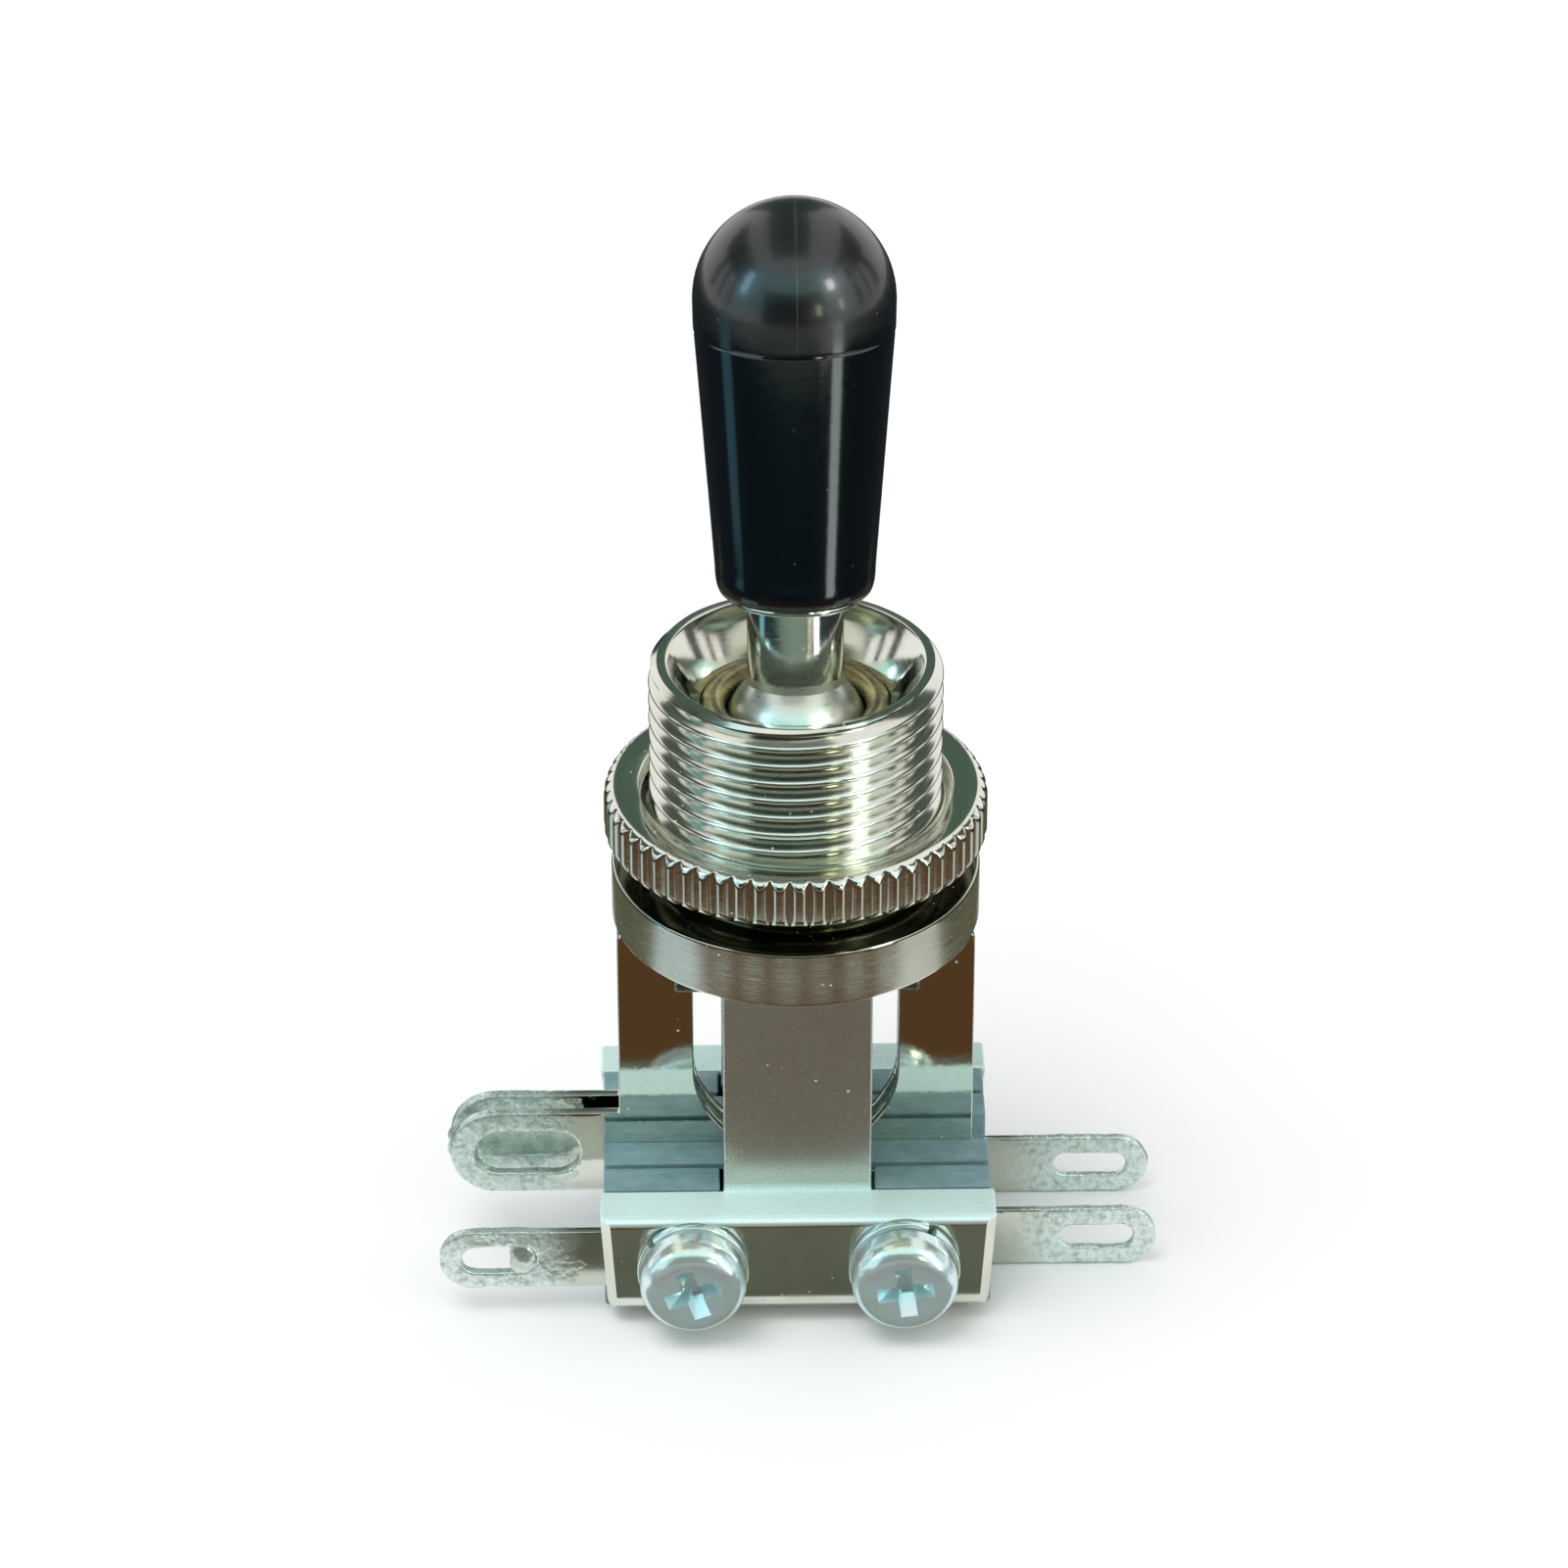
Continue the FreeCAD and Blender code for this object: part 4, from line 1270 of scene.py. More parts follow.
        rises = [self.nut_rim * (1 - math.cos(turn)) for turn in angles(self.rim_steps)[1:]]
        heights = [low.z + rise for rise in rises] + [high.z - rise for rise in reversed(rises)]
        rings: list[Ring] = [(rim_radius, height) for height in heights]
        edge = self.relief_edge
        for face, inwards in ((high.z, -1), (low.z, 1)):
            into = [(radius - self.nut_rim, face), (relief + edge, face), (relief, face + inwards * edge / 2),
                    (bore, face + inwards * self.nut_relief)]
            rings += into[::-inwards]
        bm = lathe(rings, self.ridges * self.steps_per_ridge)
        return new_piece("knurled_nut", bm, Body.SWITCH, "dress_nut")


@dataclass
class Lever:
    """The lever and what turns with it: shaft with ball and tail, tip, collar, cross pin and sleeve."""

    finishes: Finishes
    lean: float = 11.0
    ball_radius: float = 2.95
    shaft_radius: float = 1.95
    shaft_end: float = 5.75
    tenon_radius: float = 1.6
    tenon_length: float = 8.0
    collar_radius: float = 2.75
    collar_thickness: float = 0.3
    tail_radius: float = 1.3
    tail_straight: float = 5.5
    tail_taper: float = 8.4
    tail_tip_radius: float = 0.38
    tail_end: float = 10.9
    sleeve_radius: float = 0.6
    sleeve_length: float = 2.2
    tip_length: float = 16.2
    foot_radius: float = 2.9
    waist_radius: float = 3.24
    waist_rise: float = 1.1
    seam_at: float = 16.9
    seam_groove: float = 0.05
    shoulder_radius: float = 4.0
    dome_radius: float = 4.05
    pin_radius: float = 0.5
    pin_edge: float = 0.12
    pin_columns: int = 32
    shaft_edge: float = 0.08
    sleeve_edge: float = 0.06
    clearance: float = 0.02
    round_steps: int = 8
    ball_steps: int = 24
    columns: int = 96
    fine_columns: int = 40

    def place(self) -> Matrix:
        """Axes of the lever: its origin at the cross pin and its Z along the shaft."""
        return Matrix.Translation(middle_mm("pivot_pin")) @ Matrix.Rotation(math.radians(-self.lean), 4, "X")

    def build(self) -> None:
        """Make the lever's pieces."""
        makers = {"lever_shaft": self.make_shaft, "tip_ferrule": self.make_collar, "lever_tip": self.make_tip,
                  "pivot_pin": self.make_pin, "actuator_sleeve": self.make_sleeve}
        for node, make in makers.items():
            self.finishes.dress(make(), node)

    def make_shaft(self) -> Piece:
        """Shaft, ball and tapered tail in one turning.

        Returns:
            The shaft.
        """
        neck_angle = math.asin(self.shaft_radius / self.ball_radius)
        tail_angle = math.asin(self.tail_radius / self.ball_radius)
        tenon_top = self.shaft_end + self.collar_thickness + self.tenon_length
        rings: list[Ring] = [
            (0, -self.tail_end + self.sleeve_radius),
            (self.tail_tip_radius, -self.tail_end + self.sleeve_radius),
            (self.tail_tip_radius, -self.tail_taper),
            (self.tail_radius, -self.tail_straight),
        ]
        for turn in angles(self.ball_steps, neck_angle - math.pi + tail_angle):
            angle = math.pi - tail_angle + turn
            rings.append((self.ball_radius * math.sin(angle), self.ball_radius * math.cos(angle)))
        rings += [
            (self.shaft_radius, self.ball_radius),
            (self.shaft_radius, self.shaft_end - 0.3),
            (self.shaft_radius, self.shaft_end - self.shaft_edge),
            (self.shaft_radius - self.shaft_edge, self.shaft_end),
            (self.tenon_radius, self.shaft_end),
            (self.tenon_radius, tenon_top),
            (0, tenon_top),
        ]
        bm = lathe(rings, self.columns, closed=False)
        return new_piece("lever_with_ball", bm, Body.LEVER, "lever_shaft", self.place())

    def make_collar(self) -> Piece:
        """Thin bright collar between the shaft and the tip.

        Returns:
            The collar.
        """
        low = self.shaft_end
        high = low + self.collar_thickness
        side = disc_side(self.collar_radius, low, high, self.collar_thickness / 3)
        rings = [(self.tenon_radius, low), *side, (self.tenon_radius, high)]
        return new_piece("tip_collar", lathe(rings, self.columns), Body.LEVER, "tip_ferrule", self.place())

    def make_tip(self) -> Piece:
        """Moulded tip with a rounded foot, a slow taper, the mould's seam and a dome.

        Returns:
            The tip.
        """
        foot = self.shaft_end + self.collar_thickness
        top = foot + self.tip_length
        dome_centre = top - self.dome_radius
        bore_top = foot + self.tenon_length + self.clearance
        bore = self.tenon_radius + self.clearance
        rings: list[Ring] = [(0, bore_top), (bore, bore_top), (bore, foot)]
        for turn in angles(self.round_steps):
            rings.append((self.foot_radius + (self.waist_radius - self.foot_radius) * math.sin(turn) ** 0.8,
                          foot + self.waist_rise * (1 - math.cos(turn))))
        for share in (0.03, 0.25, 0.5, 0.75, 0.985):
            height = foot + self.waist_rise + (self.seam_at - foot - self.waist_rise) * share
            rings.append((self.waist_radius + (self.shoulder_radius - self.waist_radius) * share, height))
        groove = self.seam_groove
        rings += [
            (self.shoulder_radius - groove, self.seam_at - groove * 0.6),
            (self.shoulder_radius - groove, self.seam_at + groove * 0.6),
            (self.shoulder_radius + groove * 0.4, self.seam_at + groove * 2.2),
            (self.shoulder_radius + groove * 0.6, self.seam_at + groove * 5),
        ]
        for turn in angles(self.ball_steps)[:-1]:
            rings.append((self.dome_radius * math.cos(turn), dome_centre + self.dome_radius * math.sin(turn)))
        bm = lathe(rings + [(0, top)], self.columns, closed=False)
        return new_piece("black_tip", bm, Body.LEVER, "lever_tip", self.place())

    def make_pin(self) -> Piece:
        """Cross pin that the ball turns on, with chamfered ends.

        Returns:
            The pin.
        """
        low, high = box_mm("pivot_pin")
        bm = rod((high.x - low.x) / 2, self.pin_radius, self.pin_edge, self.pin_columns)
        place = Matrix.Translation((low + high) / 2) @ Matrix.Rotation(math.pi / 2, 4, "Y")
        return new_piece("cross_pin", bm, Body.LEVER, "pivot_pin", place)

    def make_sleeve(self) -> Piece:
        """Insulating sleeve with a round nose on the end of the tail.

        Returns:
            The sleeve.
        """
        bottom = -self.tail_end
        bore = self.tail_tip_radius
        top = bottom + self.sleeve_length
        rings: list[Ring] = []
        radius = self.sleeve_radius
        for turn in angles(self.round_steps):
            rings.append((radius * math.sin(turn), bottom + radius * (1 - math.cos(turn))))
        rings += [(radius, top - self.sleeve_edge), (radius - self.sleeve_edge, top), (bore, top),
                  (bore, bottom + radius), (0, bottom + radius)]
        bm = lathe(rings, self.fine_columns, closed=False)
        return new_piece("tail_sleeve", bm, Body.LEVER, "actuator_sleeve", self.place())


@dataclass
class Chassis:
    """Folded frame, the ring in the bushing's mouth, and the stack screws with their washers and tubes."""

    finishes: Finishes
    border: float = 0.4
    ledge_top: float = 5.1
    foot_low_side: float = 7.85
    small_edge: float = 0.1
    hole_share: float = 0.3
    finest_step: float = 0.035
    ring_section: float = 0.5
    ring_steps: int = 20
    ring_columns: int = 96
    screw_turns: Pair = (20.0, 8.0)
    head_radius: float = 2.2
    head_height: float = 1.5
    crown: float = 0.9
    recess_span: float = 2.35
    recess_arm: float = 0.7
    recess_sections: tuple[Triple, ...] = ((0.3, 1.12, 1.1), (0.0, 1.0, 1.0), (-0.8075, 0.52, 0.72),
                                           (-0.95, 0.3, 0.5))
    shank_radius: float = 1.15
    shank_pitch: float = 0.5
    shank_thread_depth: float = 0.22
    threaded_length: float = 3.0
    shank_columns: int = 48
    shank_chamfer: float = 0.3
    shank_run_out: float = 0.4
    shank_step: float = 0.1
    head_edge: float = 0.12
    head_steps: int = 12
    crown_flat: float = 0.4
    washer_splits: Pair = (140.0, 60.0)
    washer_inner: float = 1.22
    washer_gap: float = 9.0
    washer_twist: float = 0.07
    washer_steps: int = 72

    def build(self) -> None:
        """Make the frame, the ring, the screws and the washers."""
        self.finishes.dress(self.make_frame(), "frame")
        self.finishes.dress(self.make_ring(), "seal_ring")
        for hand, turn, split in zip(Hand, self.screw_turns, self.washer_splits):
            self.finishes.dress(self.make_screw(hand, turn), "screw_" + hand.word)
            self.finishes.dress(self.make_washer(hand, split), "lock_washer_" + hand.word)
            self.finishes.dress_node("insulating_tube_" + hand.word)

    def border_wedges(self) -> list[Mesh]:
        """Wedges that take the outer corners off both feet, along their sides and their lower edge.

        Returns:
            The closed wedges.
        """
        low, high = box_mm("frame")
        side, face, border = high.x, high.y, self.border
        lean = (side - self.foot_low_side) / (self.ledge_top - low.z)
        upright = [(side - border - 1, face + 1), (side + 1, face - border - 1), (side + 1, face + 1)]
        level = [(face + 1, low.z + border + 1), (face - border - 1, low.z - 1), (face + 1, low.z - 1)]
        wedges = []
        for front in (-1, 1):
            wedges.append(prism(level, -side - 1, side + 1, lambda a, b, depth: (depth, front * a, b)))
            for hand in (-1, 1):
                wedges.append(prism(upright, -1, self.ledge_top + 1, lambda a, b, depth: (
                    hand * (a + (depth - self.ledge_top) * lean), front * b, depth)))
        return wedges

    def make_frame(self) -> Piece:
        """The folded stamping, with small edges and a flat border round the outer face of its feet.

        Returns:
            The frame.
        """
        screws = [middle_mm("screw_" + hand.word) for hand in Hand]

        def weigh(edge: bmesh.types.BMEdge) -> float:
            """Make the edge finer at the screw holes than elsewhere.

            Args:
                edge: An edge of the frame.

            Returns:
                Its share of the bevel's width.
            """
            middle = (edge.verts[0].co + edge.verts[1].co) / 2
            at_hole = any((middle - screw).xz.length < self.head_radius for screw in screws)
            return self.hole_share if at_hole else 1.0

        bm = node_mesh("frame")
        bmesh.ops.remove_doubles(bm, verts=bm.verts, dist=self.finest_step)
        bm = bevelled(bm, self.small_edge, 2, 0.4, weigh)
        bm = cut_away(bm, self.border_wedges())
        return new_piece("folded_frame", bm, Body.SWITCH, "frame")

    def make_ring(self) -> Piece:
        """Round ring about the ball.

        Returns:
            The ring.
        """
        low, high = box_mm("seal_ring")
        centre = (low.z + high.z) / 2
        section = self.ring_section
        radius = high.x - section
        rings: list[Ring] = [(radius + section * math.cos(turn), centre + section * math.sin(turn))
                             for turn in angles(self.ring_steps, 2 * math.pi)[:-1]]
        return new_piece("mouth_ring", lathe(rings, self.ring_columns), Body.SWITCH, "seal_ring")

    def screw_place(self, hand: Hand, turn: float) -> Matrix:
        """Find the axes of a screw: Z points out of its head and the origin lies under the head.

        Args:
            hand: Which of the two screws.
            turn: Angle of the recess in degrees.

        Returns:
            The axes.
        """
        low, high = box_mm("screw_" + hand.word)
        middle = (low + high) / 2
        seat = Vector((middle.x, low.y + self.head_height, middle.z))
        outwards = Matrix.Rotation(math.pi / 2, 4, "X")
        return Matrix.Translation(seat) @ outwards @ Matrix.Rotation(math.radians(turn), 4, "Z")

    def make_screw(self, hand: Hand, turn: float) -> Piece:
        """Pan-head screw with a cross recess and a thread at its far end.

        Args:
            hand: Which of the two screws.
            turn: Angle of the recess in degrees.

        Returns:
            The screw.
        """
        low, high = box_mm("screw_" + hand.word)
        length = high.y - low.y - self.head_height
        crown = self.crown
        threaded = self.threaded_length
        thread = Thread(self.shank_radius, self.shank_thread_depth, self.shank_pitch, 0.0, threaded,
                        self.shank_columns, self.shank_chamfer, self.shank_run_out)
        columns = thread.columns
        bm = bmesh.new()
        thread.add_to(bm)
        lathe([(0, threaded), (thread.radius, threaded)], columns, closed=False, bm=bm)
        lathe([(thread.radius, 0.0), (self.shank_radius, -self.shank_step)], columns, closed=False, bm=bm)
        bmesh.ops.rotate(bm, matrix=Matrix.Rotation(math.pi, 3, "X"), verts=bm.verts)
        bmesh.ops.translate(bm, vec=(0, 0, -length + threaded), verts=bm.verts)
        head: list[Ring] = [
            (self.shank_radius, -length + threaded + self.shank_step),
            (self.shank_radius, 0.0),
            (self.head_radius - self.head_edge, 0.0),
            (self.head_radius, self.head_edge),
        ]
        for turn_up in angles(self.head_steps):
            head.append((self.head_radius - crown + crown * math.cos(turn_up),
                         self.head_height - crown + crown * math.sin(turn_up)))
        head += [(self.head_radius - crown - self.crown_flat, self.head_height), (0, self.head_height)]
        lathe(head, columns, closed=False, bm=bm)
        bmesh.ops.remove_doubles(bm, verts=bm.verts, dist=WELD)
        screw = cut_away(bm, [self.cross_cutter()])
        return new_piece("pan_screw_" + hand.word, screw, Body.SWITCH, "screw_" + hand.word,
                         self.screw_place(hand, turn))

    def cross_cutter(self) -> Mesh:
        """Tapered cross that leaves the recess for the driver.

        Returns:
            The closed cutter.
        """
        bm = bmesh.new()
        loops = []
        for depth, span_share, arm_share in self.recess_sections:
            span = self.recess_span / 2 * span_share
            arm = self.recess_arm / 2 * arm_share
            quarter = [(span, -arm), (span, arm), (arm, arm)]
            loop = []
            for turn in range(4):
                spin = Matrix.Rotation(math.pi / 2 * turn, 2)
                for a, b in quarter:
                    spot = spin @ Vector((a, b))
                    loop.append(bm.verts.new((spot.x, spot.y, self.head_height + depth)))
            loops.append(loop)
        bm.faces.new(loops[0])
        bm.faces.new(loops[-1])
        for upper, lower in zip(loops, loops[1:]):
            fill_band(bm, upper, lower)
        return bm

    def make_washer(self, hand: Hand, split: float) -> Piece:
        """Split spring washer: a short helix with a square section.

        Args:
            hand: Which of the two washers.
            split: Angle of its gap in degrees.

        Returns:
            The washer.
        """
        low, high = box_mm("lock_washer_" + hand.word)
        thickness = high.y - low.y
        outer = (high.z - low.z) / 2
        twist = self.washer_twist
        section = rounded([(self.washer_inner, twist, 0.05), (outer, twist, 0.1),
                           (outer, thickness - twist, 0.1), (self.washer_inner, thickness - twist, 0.05)], 3)
        bm = bmesh.new()
        sweep = 360 - self.washer_gap
        loops = []
        for step, turned in enumerate(angles(self.washer_steps, sweep)):
            angle = math.radians(split + self.washer_gap / 2 + turned)
            lift = twist * (2 * step / self.washer_steps - 1)
            loops.append([bm.verts.new((radius * math.cos(angle), radius * math.sin(angle), height + lift))
                          for radius, height in section])
        bm.faces.new(loops[0])
        bm.faces.new(loops[-1])
        for first, second in zip(loops, loops[1:]):
            fill_band(bm, first, second)
        middle = (low + high) / 2
        place = Matrix.Translation((middle.x, high.y, middle.z)) @ Matrix.Rotation(math.pi / 2, 4, "X")
        return new_piece("split_washer_" + hand.word, bm, Body.SWITCH, "lock_washer_" + hand.word, place)


@dataclass
class BladeStack:
    """The clamped stack: boards, common forks, spacer, hot blades, ground lug and solder."""

    finishes: Finishes
    sheet_edge: float = 0.06
    board_edge: float = 0.08
    lug_root: float = 8.6
    dip_starts: float = 9.4
    dip_full: float = 11.0
    coat: float = 0.045
    lump: float = 0.9
    cut_step: float = 0.16
    lug_top: float = 8.0
    leaf_step: float = 0.6
    leaf_below: float = 0.5
    bar_edge: float = 0.4
    bar_columns: int = 24
    bridge_waist: float = 0.9
    bridge_flare: float = 0.55
    bridge_steps: int = 14
    bridge_columns: int = 40
    fork_seed: float = 3.0
    blade_seed: float = 11.0
    ground_seed: float = 23.0
    bridge_seed: float = 31.0
    plug_seed: float = 41.0
    web_margin: float = 0.95
    web_length: float = 4.5
    web_height: float = 2.2
    web_drop: float = 0.03
    web_dent: float = 0.12
    web_lumps: float = 1.6
    web_steps: int = 7
    plug_step: float = 0.08
    plug_swell: float = 0.16
    bend_start: float = 5.1
    bend_end: float = 24.7

    def build(self) -> None:
        """Make every layer of the stack."""
        for side in Side:
            for layer in ("inner_board_", "middle_board_", "outer_board_"):
                self.finishes.dress(self.make_board(layer + side.word), layer + side.word)
            self.finishes.dress(self.make_fork(side), "common_fork_" + side.word)
            self.finishes.dress(self.make_blade(side), "hot_blade_" + side.word)
            self.finishes.dress(self.make_bar(side), "contact_bar_" + side.word)
        makers = {"centre_spacer": self.make_spacer, "ground_lug": self.make_ground_lug,
                  "solder_bridge": self.make_bridge, "solder_ground": self.make_plug}
        for node, make in makers.items():
            self.finishes.dress(make(), node)

    def dipped(self, spot: Vector) -> float:
        """Share of the solder coat at a point, from none at the lug's root to all of it at its end."""
        return min(1.0, max(0.0, (abs(spot.x) - self.dip_starts) / (self.dip_full - self.dip_starts)))

    def tin(self, bm: Mesh, node: str, seed: float) -> None:
        """Give the lug of a sheet its lumpy coat of solder.

        Args:
            bm: Mesh of the sheet with its lug.
            node: The node, for the lug's height and reach.
            seed: Shift of the lumps.
        """
        low, high = box_mm(node)
        reach = high.x if high.x > -low.x else low.x
        direction = 1 if reach > 0 else -1
        start, end = sorted((direction * self.lug_root, reach))

        def on_lug(middle: Vector) -> bool:
            """Whether a face lies beyond the lug's root."""
            return direction * middle.x > self.lug_root - 1e-3

        slice_between(bm, 0, direction * self.lug_root, direction * self.lug_root, 1.0, lambda middle: True)
        slice_between(bm, 0, start, end, self.cut_step, on_lug)
        slice_between(bm, 2, low.z, min(high.z, self.lug_top), self.cut_step, on_lug)
        roughen(bm, self.coat, self.lump, seed, self.dipped, lift=0.45)

    def make_board(self, node: str) -> Piece:
        """One insulating board with its edges just broken."""
        return new_piece("fibre_" + node, bevelled(node_mesh(node), self.board_edge), Body.SWITCH, node)

    def sheet(self, node: str) -> Mesh:
        """A sheet's own shape with its edges just broken."""
        return bevelled(node_mesh(node), self.sheet_edge)

    def make_fork(self, side: Side) -> Piece:
        """Common contact fork, with solder at the end of its lug.

        Args:
            side: Front or rear.

        Returns:
            The fork.
        """
        node = "common_fork_" + side.word
        bm = self.sheet(node)
        self.tin(bm, node, self.fork_seed + side.value)
        return new_piece("fork_plate_" + side.word, bm, Body.SWITCH, node)

    def make_spacer(self) -> Piece:
        """Thick plate between the forks."""
        return new_piece("fork_spacer", self.sheet("centre_spacer"), Body.SWITCH, "centre_spacer")

    def bending(self, piece: Piece) -> Piece:
        """Bake the piece's placement into its mesh; it does not follow the lever.

        Args:
            piece: The blade, or the bar on it.

        Returns:
            The same piece.
        """
        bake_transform(piece)
        return piece

    def make_blade(self, side: Side) -> Piece:
        """Hot blade: a spring leaf, cut into strips up its height, and a lug with a coat of solder.

        Args:
            side: Front or rear.

        Returns:
            The blade.
        """
        node = "hot_blade_" + side.word
        bm = self.sheet(node)
        self.tin(bm, node, self.blade_seed + side.value)
        leaf_top = box_mm(node)[1].z
        slice_between(bm, 2, self.bend_start, leaf_top, self.leaf_step,
                      lambda middle: middle.z > self.bend_start - self.leaf_below)
        return self.bending(new_piece("spring_blade_" + side.word, bm, None, node))

    def make_bar(self, side: Side) -> Piece:
        """Cross bar of silver wire on a blade's upper edge.

        Args:
            side: Front or rear.

        Returns:
            The bar.
        """
        node = "contact_bar_" + side.word
        low, high = box_mm(node)
        radius = (high.z - low.z) / 2
        bm = rod((high.x - low.x) / 2, radius, radius * self.bar_edge, self.bar_columns)
        place = Matrix.Translation((low + high) / 2) @ Matrix.Rotation(math.pi / 2, 4, "Y")
        return self.bending(new_piece("silver_bar_" + side.word, bm, None, node, place))

    def make_ground_lug(self) -> Piece:
        """Sheet clamped under the front foot, its lug coated with solder.

        Returns:
            The sheet.
        """
        bm = self.sheet("ground_lug")
        self.tin(bm, "ground_lug", self.ground_seed)
        return new_piece("ground_sheet", bm, Body.SWITCH, "ground_lug")

    def make_bridge(self) -> Piece:
        """Solder drawn between the two common lugs.

        Returns:
            The solder bridge.
        """
        low, high = box_mm("solder_bridge")
        middle = (low + high) / 2
        half = (high.y - low.y) / 2
        radius = (high.z - low.z) / 2
        rings: list[Ring] = [(0, -half)]
        for step in range(self.bridge_steps + 1):
            along = -1 + 2 * step / self.bridge_steps
            rings.append((radius * (self.bridge_waist + self.bridge_flare * along ** 4), along * half))
        rings.append((0, half))
        bm = lathe(rings, self.bridge_columns, closed=False)
        roughen(bm, amount=0.1, grain=0.5, seed=self.bridge_seed,
                share=lambda spot: 1 - (spot.z / half) ** 2, lift=0.2)
        self.add_web(bm, middle)
        place = Matrix.Translation(middle) @ Matrix.Rotation(math.pi / 2, 4, "X")
        return new_piece("bridge_of_solder", bm, Body.SWITCH, "solder_bridge", place)

    def add_web(self, bm: Mesh, middle: Vector) -> None:
        """Film of solder that closes the rear common lug's slot, drawn in about the bridge's own middle.

        Args:
            bm: Mesh of the bridge, to which the film is added.
            middle: Middle of the bridge.
        """
        low, high = box_mm("common_fork_rear")
        reach = low.x + self.web_margin
        near, far = low.y + self.web_drop, high.y - self.web_drop
        half_length = self.web_length / 2
        half_height = self.web_height / 2
        centre = Vector((reach + half_length - middle.x, 0, 0))
        outline = rounded([(x * half_length, y * half_height, half_height)
                           for x, y in ((-1, -1), (1, -1), (1, 1), (-1, 1))], 8)
        rims = []
        for depth, sign in ((near, 1), (far, -1)):
            loops = []
            for step in range(self.web_steps):
                share = 1 - step / self.web_steps
                loop = []
                for a, b in outline:
                    spot = Vector((a * share * self.web_lumps, b * share * self.web_lumps, 7.0 + sign))
                    dent = self.web_dent * (1 - share ** 2) + noise.noise(spot) * self.web_dent * (1 - share)
                    loop.append(bm.verts.new((centre.x + a * share, centre.y + b * share,
                                              -(depth + sign * dent - middle.y))))
                loops.append(loop)
            for outer, inner in zip(loops, loops[1:]):
                fill_band(bm, outer, inner)
            bm.faces.new(loops[-1])
            rims.append(loops[0])
        fill_band(bm, rims[0], rims[1])

    def make_plug(self) -> Piece:
        """Lump of solder left in the ground lug's slot.

        Returns:
            The solder.
        """
        bm = node_mesh("solder_ground")
        low, high = box_mm("solder_ground")
        middle = (low + high) / 2
        for axis in range(3):
            slice_between(bm, axis, low[axis], high[axis], self.plug_step, lambda spot: True)
        for vert in bm.verts:
            out = vert.co - middle
            off_middle = math.hypot(out.x / (high.x - low.x), out.z / (high.z - low.z))
            swell = self.plug_swell * max(0.0, 1 - (2 * off_middle) ** 2)
            vert.co.y += swell if out.y > 0 else -swell
        roughen(bm, amount=0.05, grain=0.35, seed=self.plug_seed, share=lambda spot: 1.0, lift=0.0)
        return new_piece("lump_of_solder", bm, Body.SWITCH, "solder_ground")


@dataclass(frozen=True)
class Card:
    """One card of the room round the switch, which only the gloss of the pieces shows.

    A flat card has its outline in x and y at the height low. A bent one stands on its edge about the
    switch from low to high, between two bearings that are 0 at the front and grow to the right.
    """

    name: str
    tone: Triple
    low: float
    outline: tuple[Pair, ...] = ()
    high: float = 0.0
    radius: float = 0.0
    bearings: Pair = (0.0, 0.0)
    glow: float = 0.0
    steps: int = 12

    def mesh(self) -> bpy.types.Mesh:
        """Cut the card out, flat or bent.

        Returns:
            Its mesh in metres.
        """
        data = bpy.data.meshes.new(self.name)
        if self.outline:
            corners = [(x * MM, y * MM, self.low * MM) for x, y in self.outline]
            data.from_pydata(corners, [], [tuple(range(len(corners)))])
            return data
        corners = []
        for turned in angles(self.steps, self.bearings[1] - self.bearings[0]):
            bearing = math.radians(self.bearings[0] + turned)
            x, y = self.radius * math.sin(bearing), -self.radius * math.cos(bearing)
            corners += [(x * MM, y * MM, self.low * MM), (x * MM, y * MM, self.high * MM)]
        faces = [(2 * step, 2 * step + 2, 2 * step + 3, 2 * step + 1) for step in range(self.steps)]
        data.from_pydata(corners, [], faces)
        return data


def post(name: str, start: float, end: float, tone: Triple = (0.06, 0.07, 0.06)) -> Card:
    """Dark upright card at the side of the room, from one bearing to another."""
    return Card(name, tone, 40, high=190, radius=200, bearings=(start, end))


